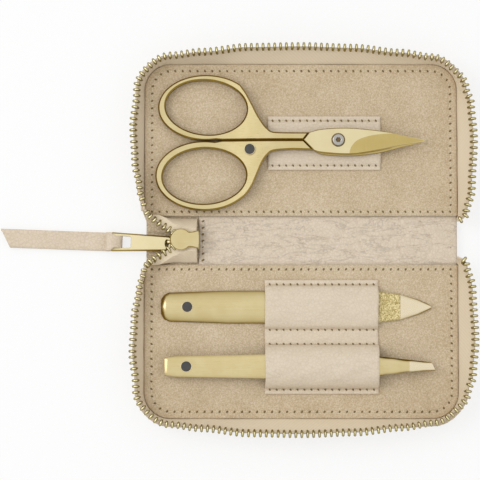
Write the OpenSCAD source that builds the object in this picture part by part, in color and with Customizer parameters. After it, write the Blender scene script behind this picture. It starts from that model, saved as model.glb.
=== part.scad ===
// Manicure set case, lying open on its outside: a lower cover with a file and tweezers in sewn
// loops, a spine, and an upper cover with nail scissors. A zip runs round both covers.
// The origin is on the table under the middle of the spine, +X runs along the folds to the
// right, +Y to the upper cover and +Z up out of the open case.

/* [Covers] */
// Width of a cover's lining panel, along the fold
panel_w = 107.4; // [100:0.1:126]
// Depth of a cover's lining panel, from its fold to its far edge
panel_d = 52.8; // [50:0.1:66]
// Corner radius of the lining panels
corner_r = 9; // [6:0.5:14]
// Distance between the two folds, which is also the thickness inside the closed case
spine_w = 16.2; // [15:0.1:20]
// Height of the fold lines above the table
fold_z = 2; // [1.6:0.1:2.4]
// Running gap on each side of a fold line
fold_gap = 0.2; // [0.1:0.05:0.4]
// Thickness of the outer leather
leather_t = 1.2; // [0.8:0.05:1.4]
// Thickness of the stiffening board in each cover
board_t = 1.05; // [0.8:0.05:1.3]
// Thickness of the suede lining
lining_t = 0.8; // [0.5:0.05:1]
// Height of the leather band round each cover
band_h = 6.2; // [5:0.1:7]
// Distance from a cover's fold edge to the left ends of its walls
wall_start = 2; // [1:0.1:4]

/* [Zip] */
// Distance from tooth to tooth along one chain
tooth_pitch = 2; // [1.6:0.05:3]
// Thickness of a tooth along the chain
tooth_t = 0.85; // [0.6:0.05:0.9]
// Width of a tooth through the tape
tooth_w = 2; // [1.6:0.05:2.1]
// Reach of a tooth's head past the parting line
tooth_reach = 0.35; // [0.2:0.05:0.5]
// Reach of a tooth's legs down the tape, from the parting line
tooth_legs = 2; // [1.6:0.05:2.1]
// Thickness of the zip tape
tape_t = 0.45; // [0.3:0.05:0.5]
// Distance from a tape's edge to the parting line
tape_setback = 0.8; // [0.7:0.05:1]

/* [Slider and puller] */
// Radius of the slider's round head
slider_r = 3.5; // [3.2:0.1:4.5]
// Width of the slider's tail
slider_tail_w = 5.2; // [5.2:0.1:6]
// Length of the slider from head to tail
slider_l = 9.7; // [9:0.1:12]
// Thickness of each of the slider's two plates
slider_plate_t = 0.8; // [0.6:0.1:1]
// Length of the puller plate
puller_l = 21.2; // [16:0.1:30]
// Width of the puller plate at its strap end
puller_w = 6.6; // [5:0.1:8]
// Width of the puller plate at its eye
puller_eye_w = 5; // [4:0.1:6]
// Thickness of the puller plate
puller_t = 1.4; // [1:0.1:1.6]
// Turn of the puller and strap away from the spine's line, seen from above
puller_turn = 2.1; // [-6:0.1:6]
// Width of the leather strap
strap_w = 6.2; // [4:0.1:6.4]
// Length of the strap's flat tail beyond its roll
strap_l = 36; // [20:0.5:60]
// Thickness of the strap's leather
strap_t = 1.2; // [0.8:0.1:1.3]

/* [Nail scissors] */
// Distance from the screw to the blades' tip
blade_l = 29.7; // [24:0.1:36]
// Width of the closed blades at the screw
blade_w = 8.8; // [7:0.1:11]
// Width of the two closed shanks together
shank_w = 6; // [5:0.1:8]
// Half length of a finger ring's opening
ring_rx = 14.3; // [11:0.1:15]
// Half width of a finger ring's opening
ring_ry = 9.4; // [8:0.1:10.4]
// Width of a finger ring's band
ring_band = 2; // [1.6:0.1:2.3]
// Distance from the screw back to the middle of the rings
ring_back = 45.4; // [40:0.1:50]
// Height of the closed shanks and blades
scissors_h = 3.2; // [2.4:0.1:4]
// Radius of the scissors' screw
screw_r = 1.4; // [1:0.1:1.8]
// Radius of the screw's head
screw_head_r = 2.3; // [1.9:0.1:3]

/* [Nail file] */
// Length of the file
file_l = 92.4; // [80:0.1:96]
// Width of the file's handle
file_w = 11.2; // [8:0.1:12]
// Height of the crowned handle
file_h = 2.2; // [1.4:0.1:2.6]
// Thickness of the file's flat blade
file_blade_t = 1.2; // [0.8:0.1:1.6]

/* [Tweezers] */
// Length of the tweezers
tweezers_l = 92; // [80:0.1:96]
// Widest width of the tweezers' arms
tweezers_w = 9; // [7:0.1:10.5]
// Thickness of one arm
arm_t = 1.1; // [0.8:0.05:1.4]
// Widest gap between the relaxed arms
arm_gap = 2.8; // [2:0.1:3.4]
// Gap between the relaxed tips
tip_gap = 1.7; // [1.2:0.1:2.4]

/* [Loops] */
// Length of the sewn loop patches, along the tools
loop_l = 38.7; // [30:0.1:46]
// Thickness of the loops' leather
loop_t = 0.9; // [0.6:0.05:1.2]
// Clear space between a loop and the tool inside it
loop_clear = 0.3; // [0.2:0.05:0.6]
// Width of a sewn tunnel between its two rows of stitches
tunnel_w = 14.8; // [12:0.1:16]
// Width of the flat leather outside each row of stitches
loop_hem = 1.9; // [1.2:0.1:2.5]
// Flat leather between the two tunnels of the tool loops
loop_bridge = 5.6; // [3:0.1:8]

/* [Hidden] */

leather = "#DACAB6";
suede = "#CBB99A";
gold = "#CDBB6A";
brass = "#C9B45C";
steel = "#B9BDC0";
greyboard = "#8F887C";
enamel = "#2E3338";
grit_gold = "#B8A75C";

seat = 0.05;
fold_y = spine_w / 2;
mid_z = fold_z + spine_w / 2;
cover_y0 = fold_y + fold_gap;
cover_y1 = fold_y + panel_d;
board_z = leather_t + seat;
lining_z = board_z + board_t + seat;
panel_z = lining_z + lining_t;

// The walls lean outwards by this much at the parting line, at places counted round a cover's
// edge: 0 to 1 is the left side, 1 to 2 the left corner, 2 to 3 the far side and so on to 5.
wall_lean = [
    [0, -1.8], [0.06, -0.5], [0.2, 1.2], [0.42, 3], [0.7, 3.7], [0.95, 2.4], [1.5, 1.2],
    [2, 2], [2.12, 3.4], [2.3, 5.2], [2.5, 5.5], [2.7, 4.9], [2.88, 3.1], [3, 1.4],
    [3.5, 0.5], [4, 2.5], [4.12, 4.4], [4.4, 5.4], [4.8, 4.5], [5, 2.2]
];
side_steps = 14;
corner_steps = 8;
far_steps = 26;
edge_places = concat(
    [for (i = [0 : side_steps - 1]) i / side_steps],
    [for (i = [0 : corner_steps - 1]) 1 + i / corner_steps],
    [for (i = [0 : far_steps - 1]) 2 + i / far_steps],
    [for (i = [0 : corner_steps - 1]) 3 + i / corner_steps],
    [for (i = [0 : side_steps]) 4 + i / side_steps]
);

function smooth(f) = f * f * (3 - 2 * f);
function table_at(table, place, i = 0) =
    i + 2 >= len(table) || place <= table[i + 1][0]
        ? let (f = (place - table[i][0]) / (table[i + 1][0] - table[i][0]))
          table[i][1] + (table[i + 1][1] - table[i][1]) * smooth(min(1, max(0, f)))
        : table_at(table, place, i + 1);
function unit(v) = v / norm(v);
function mix(a, b, f) = a + (b - a) * f;

// A place on the edge of the upper cover's lining panel, and the way out from there
side_y = cover_y1 - corner_r;
corner_x = panel_w / 2 - corner_r;
function edge_angle(p) = p < 1 ? 180 : p < 2 ? 270 - 90 * p : p < 3 ? 90 : p < 4 ? 360 - 90 * p : 0;
function edge_normal(p) = [cos(edge_angle(p)), sin(edge_angle(p))];
function edge_centre(p) =
    p < 1 ? [-corner_x, mix(cover_y0, side_y, p)]
    : p < 2 ? [-corner_x, side_y]
    : p < 3 ? [mix(-corner_x, corner_x, p - 2), side_y]
    : p < 4 ? [corner_x, side_y]
    : [corner_x, mix(side_y, cover_y0, p - 4)];
lean_rise = mid_z - panel_z;
wall_p0 = wall_start / (side_y - cover_y0);
wall_places = concat([wall_p0], [for (p = edge_places) if (p > wall_p0 + 0.01) p]);
// A point of the wall: d out from the panel's edge, before the lean, at height z
function wall_point(p, d, z) =
    let (out = corner_r + d + table_at(wall_lean, p) * max(0, z - panel_z) / lean_rise)
    let (xy = edge_centre(p) + edge_normal(p) * out)
    [xy.x, xy.y, z];

tape_gap = 0.08;
tape_mid = tape_gap + tape_t / 2;
sew_gap = 0.32;
band_in = tape_gap + tape_t + sew_gap;
band_out = band_in + leather_t;
hem_round = 0.5;
tape_z0 = board_z;

// A solid swept through rings of points, each ring a closed section. The ends are closed by the
// faces in cap, or by one face each.
module swept(rings, cap = undef) {
    m = len(rings[0]);
    n = len(rings);
    ends = is_undef(cap) ? [[for (j = [0 : m - 1]) j]] : cap;
    polyhedron(
        points = [for (ring = rings) each ring],
        faces = concat(
            [for (i = [0 : n - 2], j = [0 : m - 1]) each [
                [i * m + j, (i + 1) * m + j, (i + 1) * m + (j + 1) % m],
                [i * m + j, (i + 1) * m + (j + 1) % m, i * m + (j + 1) % m]
            ]],
            ends,
            [for (face = ends) [for (k = [len(face) - 1 : -1 : 0]) (n - 1) * m + face[k]]]
        ),
        convexity = 8
    );
}

// The leather gusset that stands up round three sides of a cover, sewn on the outer panel
module cover_gusset() {
    color(leather)
        swept([
            for (p = wall_places) [
                wall_point(p, band_in, leather_t),
                wall_point(p, band_out, leather_t),
                wall_point(p, band_out, panel_z),
                wall_point(p, band_out, band_h),
                wall_point(p, band_in, band_h),
                wall_point(p, band_in, panel_z)
            ]
        ]);
}

// A flat layer of a cover, set in from the panel's edge
module cover_layer(inset, z, t) {
    translate([0, 0, z])
        linear_extrude(t)
            polygon([for (p = edge_places)
                let (q = wall_point(p, -inset, 0)) [q.x, q.y]]);
}

module cover_leather() {
    color(leather) cover_layer(hem_round - band_out, 0, leather_t);
}

module cover_board() {
    color(greyboard) cover_layer(0.3, board_z, board_t);
}

module cover_lining() {
    color(suede) cover_layer(0, lining_z, lining_t);
}

tape_in = tape_gap;
tape_out = tape_gap + tape_t;
tape_z1 = mid_z - tape_setback;
module cover_tape() {
    color(suede)
        swept([
            for (p = wall_places) [
                wall_point(p, tape_in, tape_z0),
                wall_point(p, tape_out, tape_z0),
                wall_point(p, tape_out, panel_z),
                wall_point(p, tape_out, tape_z1),
                wall_point(p, tape_in, tape_z1),
                wall_point(p, tape_in, panel_z)
            ]
        ]);
}

// The parting line of the zip along a cover, and each place on it by its length from the fold
function chain_point(p) = wall_point(p, tape_mid, mid_z);
function chain_up(p) =
    let (n = edge_normal(p) * table_at(wall_lean, p)) unit([n.x, n.y, lean_rise]);
chain_steps = 200;
chain_places = [for (i = [0 : chain_steps]) mix(wall_p0, 5, i / chain_steps)];
chain_runs = [
    for (i = 0, run = 0; i <= chain_steps;
         i = i + 1,
         run = run + (i <= chain_steps
            ? norm(chain_point(chain_places[i]) - chain_point(chain_places[i - 1])) : 0))
        [run, chain_places[i]]
];
chain_len = chain_runs[chain_steps][0];
function chain_place(run) = lookup(run, chain_runs);

// One tooth: its head, and two legs clamped on the tape's edge
tooth_head_w = 0.8;
tooth_slot = tape_t + 0.1;
tooth_neck = tape_setback - 0.05;
// The head thins towards its tip, so it goes in between two heads of the other chain
tooth_tip_t = 0.4 * tooth_t;
tooth_shoulder = 0.6;
module tooth() {
    intersection() {
        linear_extrude(tooth_t, center = true)
            polygon([
                [-tooth_head_w * tooth_w / 2, tooth_reach], [tooth_head_w * tooth_w / 2, tooth_reach],
                [tooth_w / 2, -tooth_shoulder], [tooth_w / 2, -tooth_legs],
                [tooth_slot / 2, -tooth_legs], [tooth_slot / 2, -tooth_neck],
                [-tooth_slot / 2, -tooth_neck], [-tooth_slot / 2, -tooth_legs],
                [-tooth_w / 2, -tooth_legs], [-tooth_w / 2, -tooth_shoulder]
            ]);
        rotate([0, 90, 0])
            linear_extrude(tooth_w + 1, center = true)
                polygon([
                    [-tooth_t, -tooth_legs - 1], [tooth_t, -tooth_legs - 1], [tooth_t, -tooth_shoulder],
                    [tooth_t / 2, -tooth_shoulder], [tooth_tip_t / 2, tooth_reach + 0.01],
                    [-tooth_tip_t / 2, tooth_reach + 0.01], [-tooth_t / 2, -tooth_shoulder],
                    [-tooth_t, -tooth_shoulder]
                ]);
    }
}

// Stands a child at a point of a chain: its Z along the chain and its Y out of the tape
module on_chain(at, along, up) {
    t = unit(along);
    u = unit(up - t * (up * t));
    w = cross(u, t);
    multmatrix([
        [w.x, u.x, t.x, at.x],
        [w.y, u.y, t.y, at.y],
        [w.z, u.z, t.z, at.z],
        [0, 0, 0, 1]
    ]) children();
}

stop_l = 2;
stop_drop = 0.45;
chain_count = floor((chain_len - stop_l - tooth_pitch) / tooth_pitch);
function chain_along(p) = chain_point(min(5, p + 0.02)) - chain_point(max(wall_p0, p - 0.02));
// The teeth of one cover, from a first length along the chain
module cover_teeth(first) {
    color(brass)
        for (i = [0 : chain_count - 1]) {
            p = chain_place(first + i * tooth_pitch);
            on_chain(chain_point(p), chain_along(p), chain_up(p)) tooth();
        }
}

// The stop at a chain's right end
module cover_stop() {
    p = chain_place(chain_len - stop_l / 2 - 0.1);
    color(brass)
        on_chain(chain_point(p), chain_along(p), chain_up(p))
            difference() {
                translate([-tooth_w / 2, -tooth_legs, -stop_l / 2])
                    cube([tooth_w, tooth_legs - stop_drop, stop_l]);
                translate([-tooth_slot / 2, -tooth_legs - 1, -stop_l])
                    cube([tooth_slot, tooth_legs + 1 - tooth_neck, 2 * stop_l]);
            }
}

// ---- Spine ----
spine_inset = [0.7, 0.4];
spine_x0 = -panel_w / 2 + spine_inset[0];
spine_x1 = panel_w / 2 - spine_inset[1];
module spine_leather() {
    color(leather)
        translate([spine_x0, -fold_y + fold_gap, 0])
            cube([spine_x1 - spine_x0, spine_w - 2 * fold_gap, leather_t]);
}

tab_inset = 18.65;
spine_tab_x = -panel_w / 2 + tab_inset;
spine_lining_t = 0.8;
module spine_lining() {
    color(leather)
        translate([spine_tab_x, -fold_y + 2 * fold_gap, leather_t + seat])
            cube([spine_x1 - 0.8 - spine_tab_x, spine_w - 4 * fold_gap, spine_lining_t]);
}

// The slider stands on its bail. Its channel holds the chain at slider_z.
bail_t = 0.8;
bail_rise = 2.7;
channel_h = tooth_w + 0.25;
slider_z0 = leather_t + 0.15 + bail_rise;
slider_z = slider_z0 + slider_plate_t + channel_h / 2;
slider_x1 = spine_tab_x + 0.15;
slider_x0 = slider_x1 - slider_l;
slider_head_x = slider_x0 + slider_r;
mouth_x = slider_x0 + 1;
tail_x = slider_x1 - 0.8;

// Upper leg of the zip's open end: through the slider, then up to the cover's wall
leg_start = [tail_x, 0, slider_z];
leg_mouth = [mouth_x, 1.5, slider_z];
leg_end = chain_point(wall_p0) - [0, 0.4, 0];
leg_pull_a = leg_mouth + [-3.4, 2.1, 0.15];
leg_pull_b = leg_end + [1.6, -2.6, -0.5];
leg_split = 0.35;
function bezier(a, b, c, d, f) =
    a * pow(1 - f, 3) + 3 * b * f * pow(1 - f, 2) + 3 * c * f * f * (1 - f) + d * pow(f, 3);
function leg_point(f) =
    f < leg_split
        ? let (g = f / leg_split)
          [mix(leg_start.x, leg_mouth.x, g), leg_mouth.y * smooth(max(0, 2 * g - 1)), slider_z]
        : bezier(leg_mouth, leg_pull_a, leg_pull_b, leg_end, (f - leg_split) / (1 - leg_split));
function leg_up(f) =
    unit(mix([0, -1, 0], chain_up(wall_p0), smooth(max(0, (f - leg_split) / (1 - leg_split)))));
function leg_along(f) = leg_point(min(1, f + 0.02)) - leg_point(max(0, f - 0.02));
leg_foot_a = [slider_x1 - 0.6, fold_y - 0.7, leather_t + 0.3];
leg_foot_b = [spine_x0 + 0.3, fold_y - 1.2, leather_t + 0.4];
leg_flat = 3;
leg_steps = 20;
module zip_leg_tape() {
    swept([
        for (i = [0 : leg_steps])
            let (f = i / leg_steps,
                 edge = leg_point(f) - leg_up(f) * tape_setback,
                 bend = edge - leg_up(f) * leg_flat,
                 foot = mix(leg_foot_a, leg_foot_b, f),
                 n1 = unit(cross(leg_along(f), leg_up(f))) * tape_t / 2,
                 n2 = unit(cross(leg_foot_b - leg_foot_a, bend - foot)) * tape_t / 2)
            [edge + n1, bend + mix(n1, n2, 0.5), foot + n2, foot - n2, bend - mix(n1, n2, 0.5),
             edge - n1]
    ], [[0, 1, 5], [1, 4, 5], [1, 2, 4], [2, 3, 4]]);
}

module both_sides() {
    children();
    mirror([0, 1, 0]) children();
}

module spine_zip_tape() {
    color(suede) both_sides() zip_leg_tape();
}

leg_tooth_at = [0.39, 0.48, 0.58, 0.68, 0.79, 0.9];
joined_teeth = 3;
module spine_zip_teeth() {
    color(brass) {
        both_sides()
            for (f = leg_tooth_at)
                on_chain(leg_point(f), leg_along(f), leg_up(f)) tooth();
        for (i = [0 : joined_teeth - 1])
            translate([tail_x - 1.9 - i * tooth_pitch / 2, 0, slider_z])
                on_chain([0, 0, 0], [1, 0, 0], [0, i % 2 == 0 ? 1 : -1, 0]) tooth();
    }
}

module zip_bottom_stop() {
    color(brass)
        translate([tail_x - 1.1, -1.6, slider_z - tooth_w / 2])
            difference() {
                cube([1.4, 3.2, tooth_w]);
                translate([-1, -1, tooth_w / 2 - tooth_slot / 2]) cube([4, 1.7, tooth_slot]);
                translate([-1, 2.5, tooth_w / 2 - tooth_slot / 2]) cube([4, 1.7, tooth_slot]);
            }
}

// ---- Slider, puller and strap ----
wedge_w = 1.2;
flange_t = 0.5;
flange_gap = 1.1;
slider_flange_l = 4.4;
module slider_plate_outline() {
    translate([slider_head_x, 0]) circle(slider_r, $fn = 48);
    translate([slider_head_x, -slider_tail_w / 2])
        square([slider_x1 - slider_head_x, slider_tail_w]);
}

module slider_body() {
    color(gold) {
        for (z = [slider_z0, slider_z0 + slider_plate_t + channel_h])
            translate([0, 0, z]) linear_extrude(slider_plate_t) slider_plate_outline();
        translate([0, 0, slider_z0 + slider_plate_t / 2])
            linear_extrude(channel_h + slider_plate_t)
                polygon([[slider_x0 + 0.4, 0], [slider_head_x - 1.6, wedge_w / 2],
                    [slider_head_x + 0.8, 0], [slider_head_x - 1.6, -wedge_w / 2]]);
        flange_h = (channel_h - flange_gap) / 2;
        for (side = [-1, 1], z = [slider_z0 + slider_plate_t - 0.1,
                slider_z0 + slider_plate_t + channel_h - flange_h])
            translate([slider_x1 - slider_flange_l,
                    side * (slider_tail_w - flange_t) / 2 - flange_t / 2, z])
                cube([slider_flange_l, flange_t, flange_h + 0.1]);
    }
}

// The puller's eye hangs in a loop below the slider's nose
eye_x = slider_x0 - 0.2;
eye_y = -1.1;
bail_w = 1.4;
bail_x0 = eye_x - 1.5;
bail_x1 = eye_x + 1.5;
bail_z0 = leather_t + 0.15;
bail_z1 = slider_z0 + slider_plate_t;
module slider_bail() {
    color(gold)
        difference() {
            translate([bail_x0, -bail_w / 2 + eye_y / 2, bail_z0])
                cube([bail_x1 - bail_x0 + bail_t, bail_w, bail_z1 - bail_z0]);
            translate([bail_x0 + bail_t, -bail_w + eye_y / 2, bail_z0 + bail_t / 2])
                cube([bail_x1 - bail_x0 - bail_t, 2 * bail_w, slider_z0 - bail_z0 - bail_t / 2]);
            translate([eye_x, eye_y / 2 - bail_w, slider_z0 - seat])
                cube([8, 2 * bail_w, bail_z1]);
        }
}

eye_hole = [1.4, 2.7];
eye_bar = 0.9;
eye_z = slider_z0 - 1.15;
eye_gap = 0.3;
eye_bar_x = bail_x0 + bail_t + eye_gap + eye_bar / 2;
strap_bar = 1.4;
strap_slot_w = 4.4;
slot_l = 5.8;
roll_hole_r = norm([strap_bar, puller_t]) / 2 + 0.06;
roll_r = roll_hole_r + strap_t;
roll_z = roll_r + seat;
bar_x = -puller_l + eye_bar / 2 + strap_bar / 2;
puller_dip = asin((eye_z - roll_z) / -bar_x);

// Places the puller's own frame: its eye bar at the origin, its length along -X
module at_puller() {
    translate([eye_bar_x, eye_y, eye_z])
        rotate([0, 0, -puller_turn])
            children();
}

puller_corner = 0.7;
module puller_plate() {
    r = puller_corner;
    color(gold)
        at_puller()
            rotate([0, -puller_dip, 0])
                difference() {
                    translate([0, 0, -puller_t / 2])
                        linear_extrude(puller_t)
                            polygon([
                                [eye_bar / 2, -puller_eye_w / 2 + r],
                                [eye_bar / 2, puller_eye_w / 2 - r],
                                [eye_bar / 2 - r, puller_eye_w / 2],
                                [-puller_l + eye_bar / 2 + r, puller_w / 2],
                                [-puller_l + eye_bar / 2, puller_w / 2 - r],
                                [-puller_l + eye_bar / 2, -puller_w / 2 + r],
                                [-puller_l + eye_bar / 2 + r, -puller_w / 2],
                                [eye_bar / 2 - r, -puller_eye_w / 2]
                            ]);
                    translate([-eye_bar / 2 - eye_hole.x, -eye_hole.y / 2, -puller_t])
                        cube([eye_hole.x, eye_hole.y, 2 * puller_t]);
                    translate([bar_x + strap_bar / 2, -strap_slot_w / 2, -puller_t])
                        cube([slot_l, strap_slot_w, 2 * puller_t]);
                }
}

// The strap's leather rolls round the puller's bar and runs out flat on the table
strap_end_cut = 28;
strap_tail_t = 1.8;
module puller_strap() {
    roll_w = strap_slot_w - 0.3;
    tail_x1 = -roll_r + 0.6;
    color(leather)
        at_puller()
            translate([bar_x, 0, roll_z - eye_z])
                difference() {
                    union() {
                        rotate([90, 0, 0])
                            cylinder(r = roll_r, h = roll_w, center = true, $fn = 48);
                        translate([0, -strap_w / 2, -roll_r])
                            linear_extrude(strap_tail_t)
                                polygon([
                                    [-strap_l, 0], [tail_x1, 0], [tail_x1, strap_w],
                                    [-strap_l - strap_w * tan(strap_end_cut), strap_w]
                                ]);
                    }
                    rotate([90, 0, 0])
                        cylinder(r = roll_hole_r, h = 2 * strap_w, center = true, $fn = 48);
                }
}

// ---- Loops ----
tool_loops_x = 7;
arch_fullness = 0.3;
function arch(y0, y1, h, steps = 14) =
    [for (i = [0 : steps]) let (f = i / steps) [mix(y0, y1, f), h * pow(sin(180 * f), arch_fullness)]];
// A patch's section across the tunnels. Each tunnel is [start, width, height inside].
function patch_section(width, tunnels) = concat(
    [[0, loop_t]],
    [for (t = tunnels) each [for (q = arch(t[0] - loop_t, t[0] + t[1] + loop_t, t[2]))
        [q.x, q.y + loop_t]]],
    [[width, loop_t], [width, 0]],
    [for (k = [len(tunnels) - 1 : -1 : 0]) let (t = tunnels[k])
        each [for (q = arch(t[0] + t[1], t[0], t[2])) q]],
    [[0, 0]]
);

// Stands a patch's section on a panel, running away from the fold, and extrudes it along X
module patch(centre_x, width, tunnels) {
    translate([centre_x - loop_l / 2, 0, panel_z + seat])
        rotate([90, 0, 90])
            linear_extrude(loop_l)
                polygon(patch_section(width, tunnels));
}

file_tunnel_h = file_h + loop_clear + 0.3;
tweezers_h = arm_gap + 2 * arm_t;
tweezers_tunnel_h = tweezers_h + 3 * loop_clear;
tool_patch_w = 2 * loop_hem + 2 * tunnel_w + loop_bridge;
// The patch shares the panel's free depth between its fold side and its far side
tools_near = 5.3;
tools_far = 8.5;
tool_loops_y = -cover_y0 - (panel_d - tool_patch_w) * tools_near / (tools_near + tools_far);
file_y = tool_loops_y - loop_hem - tunnel_w / 2;
tweezers_y = file_y - tunnel_w - loop_bridge;
module tool_loops() {
    color(leather)
        mirror([0, 1, 0])
            translate([0, -tool_loops_y, 0])
                patch(tool_loops_x, tool_patch_w, [
                    [loop_hem, tunnel_w, file_tunnel_h],
                    [loop_hem + tunnel_w + loop_bridge, tunnel_w, tweezers_tunnel_h]
                ]);
}

scissors_loop_h = 0.4;
scissors_loop_x = 8;
scissors_y = cover_y0 + panel_d / 2 - 0.6;
scissors_patch_w = 2 * loop_hem + tunnel_w;
module scissors_loop() {
    color(leather)
        translate([0, scissors_y - 0.6 - scissors_patch_w / 2, 0])
            patch(scissors_loop_x, scissors_patch_w, [[loop_hem, tunnel_w, scissors_loop_h]]);
}

// ---- Nail scissors ----
// Built round the screw at the origin, blades along +X. The top half has the lower ring.
screw_x = 12.7;
scissors_z0 = panel_z + 2 * seat + loop_t + scissors_loop_h + seat;
scissors_z1 = scissors_z0 + scissors_h;
blade_split = 0.04;
blade_mid = scissors_z0 + scissors_h / 2;
ring_z0 = panel_z + seat;
ring_h = 3.2;
lap_r = 10.9;
shank_gap = 0.1;
ring_apart = ring_ry + ring_band + shank_gap / 2;
module at_screw() {
    translate([screw_x, scissors_y, 0]) children();
}

function oval(rx, ry, steps = 60) =
    [for (i = [0 : steps - 1]) [rx * cos(360 * i / steps), ry * sin(360 * i / steps)]];

module ring_outline() {
    translate([-ring_back, -ring_apart])
        polygon(oval(ring_rx + ring_band, ring_ry + ring_band));
}

module ring_opening() {
    translate([-ring_back, -ring_apart]) polygon(oval(ring_rx, ring_ry));
}

// The shank of the half whose ring lies below the centre line, with the web to its ring
module shank_outline() {
    w = shank_w / 2;
    x = -ring_back;
    y = -ring_apart;
    polygon([
        [x + 17.3, -shank_gap], [-lap_r + 2, -shank_gap], [-lap_r + 2, -w],
        [x + 23.5, -w], [x + 20.4, -w - 1.3], [x + 18.4, -w - 4], [x + 17, y],
        [x + 15.2, y - 3.4], [x + 13, y - 5.6], [x + 13.4, y + 5], [x + 12.4, -2.2]
    ]);
}

function blade_edge(f) = blade_w / 2 * pow(1 - f, 0.62) * (1 + 0.5 * f);
blade_steps = 12;
module blade_outline() {
    root = -lap_r + 0.15;
    polygon(concat(
        [[root, -shank_w / 2], [-4.6, -blade_w / 2]],
        [for (i = [0 : blade_steps]) let (f = i / blade_steps) [blade_l * f, -blade_edge(f)]],
        [for (i = [blade_steps - 1 : -1 : 0]) let (f = i / blade_steps)
            [blade_l * f, blade_edge(f)]],
        [[-4.6, blade_w / 2], [root + 0.4, shank_w / 2]]
    ));
}

// One half, drawn with its ring below the line: its shank is full height and its blade is
// the layer from z0 to z1
module scissors_half(z0, z1, gap_z0, gap_z1) {
    difference() {
        union() {
            translate([0, 0, ring_z0]) linear_extrude(ring_h) ring_outline();
            difference() {
                translate([0, 0, scissors_z0]) linear_extrude(scissors_h) shank_outline();
                translate([0, 0, gap_z0]) cylinder(r = lap_r, h = gap_z1 - gap_z0, $fn = 72);
            }
            translate([0, 0, z0]) linear_extrude(z1 - z0) blade_outline();
        }
        translate([0, 0, ring_z0 - 1]) linear_extrude(ring_h + scissors_h + 3) ring_opening();
        translate([0, 0, ring_z0 - 1])
            cylinder(r = screw_r + 0.05, h = scissors_h + 6, $fn = 48);
    }
}

module scissors_top_half() {
    color(gold)
        at_screw()
            scissors_half(blade_mid + blade_split / 2, scissors_z1,
                scissors_z0 - 1, blade_mid + blade_split / 2);
}

module scissors_under_half() {
    color(gold)
        at_screw()
            mirror([0, 1, 0])
                scissors_half(scissors_z0, blade_mid - blade_split / 2,
                    blade_mid - blade_split / 2, scissors_z1 + 1);
}

screw_head_h = 0.8;
socket_r = 0.95;
module scissors_screw() {
    color(steel)
        at_screw()
            difference() {
                union() {
                    translate([0, 0, scissors_z0])
                        cylinder(r = screw_r, h = scissors_h + screw_head_h / 2, $fn = 48);
                    translate([0, 0, scissors_z1 + 0.02])
                        cylinder(r = screw_head_r, h = screw_head_h, $fn = 48);
                }
                translate([0, 0, scissors_z1 + screw_head_h / 4])
                    cylinder(r = socket_r, h = screw_head_h, $fn = 6);
            }
}

mark_r = 1.9;
mark_t = 0.25;
scissors_mark_at = [-30.3, -3.1];
module scissors_mark() {
    color(enamel)
        at_screw()
            translate([scissors_mark_at.x, scissors_mark_at.y, scissors_z1 + 0.01])
                cylinder(r = mark_r, h = mark_t, $fn = 48);
}

// ---- Nail file ----
file_x0 = -47.9;
file_z0 = panel_z + seat;
// The file's width along its length, as shares of file_w
file_profile = [[0, 0.69], [0.025, 0.87], [0.25, 1], [0.5, 1], [0.81, 0.945], [0.88, 0.8],
    [0.95, 0.46], [0.99, 0.16], [1, 0.06]];
file_steps = 36;
file_edge_t = 0.9;
file_crown_end = 0.5;
function file_half_w(f) = lookup(f, file_profile) * file_w / 2;
function file_crown(f) =
    mix(file_h, file_blade_t, smooth(min(1, max(0, (f - file_crown_end) / 0.12))));
function crowned(x, w, z0, edge, top) = concat(
    [[x, -w, z0], [x, w, z0]],
    [for (k = [1 : -0.25 : -1]) [x, w * k, z0 + edge + (top - edge) * (1 - k * k)]]
);
module file_body() {
    color(gold)
        translate([file_x0, file_y, file_z0])
            swept([for (i = [0 : file_steps])
                let (f = i / file_steps)
                crowned(file_l * f, file_half_w(f), 0, file_edge_t, file_crown(f))]);
}

// The grit is a thin coat on the flat blade's upper side
grit_f0 = 0.62;
grit_f1 = 0.885;
grit_t = 0.06;
grit_inset = 0.1;
grit_steps = 10;
module file_grit() {
    color(grit_gold)
        translate([file_x0, file_y, file_z0 + 0.02])
            swept([for (i = [0 : grit_steps])
                let (f = mix(grit_f0, grit_f1, i / grit_steps),
                     w = file_half_w(f) - grit_inset,
                     rise = file_blade_t - file_edge_t)
                concat(
                    [for (k = [-1 : 0.25 : 1]) [file_l * f, w * k, file_edge_t + rise * (1 - k * k)]],
                    [for (k = [1 : -0.25 : -1])
                        [file_l * f, w * k, file_edge_t + rise * (1 - k * k) + grit_t]])]);
}

file_mark_x = 9;
module file_mark() {
    color(enamel)
        translate([file_x0 + file_mark_x, file_y, file_z0 + file_h + 0.01])
            cylinder(r = mark_r, h = mark_t, $fn = 48);
}

// ---- Tweezers ----
tweezers_x0 = -46.5;
butt_l = 8.5;
// An arm's width along its length, as shares of tweezers_w
arm_profile = [[0, 0.69], [0.04, 0.78], [0.6, 1], [0.72, 0.91], [0.83, 0.58], [0.9, 0.42],
    [0.975, 0.32], [1, 0.31]];
tweezers_z = panel_z + seat + tweezers_h / 2;
arm_steps = 36;
function arm_half_w(f) = lookup(f, arm_profile) * tweezers_w / 2;
function arm_inner(f) =
    let (g = max(0, (f - butt_l / tweezers_l) / (1 - butt_l / tweezers_l)))
    0.02 + (g < 0.55
        ? arm_gap / 2 * smooth(g / 0.55)
        : mix(arm_gap / 2, tip_gap / 2, smooth((g - 0.55) / 0.45)));
slant = 1.3;
arm_edge = 0.8;
// One arm, above the tweezers' middle plane
module arm() {
    swept([for (i = [0 : arm_steps])
        let (f = i / arm_steps, w = arm_half_w(f), z = arm_inner(f), x = tweezers_l * f,
             cut = f > 0.97 ? slant : 0)
        [[x, -w, z], [x - cut, w, z], [x - cut, w, z + arm_edge * arm_t],
         [x - cut * 0.8, w * 0.6, z + arm_t], [x - cut * 0.2, -w * 0.6, z + arm_t],
         [x, -w, z + arm_edge * arm_t]]]);
}

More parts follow.
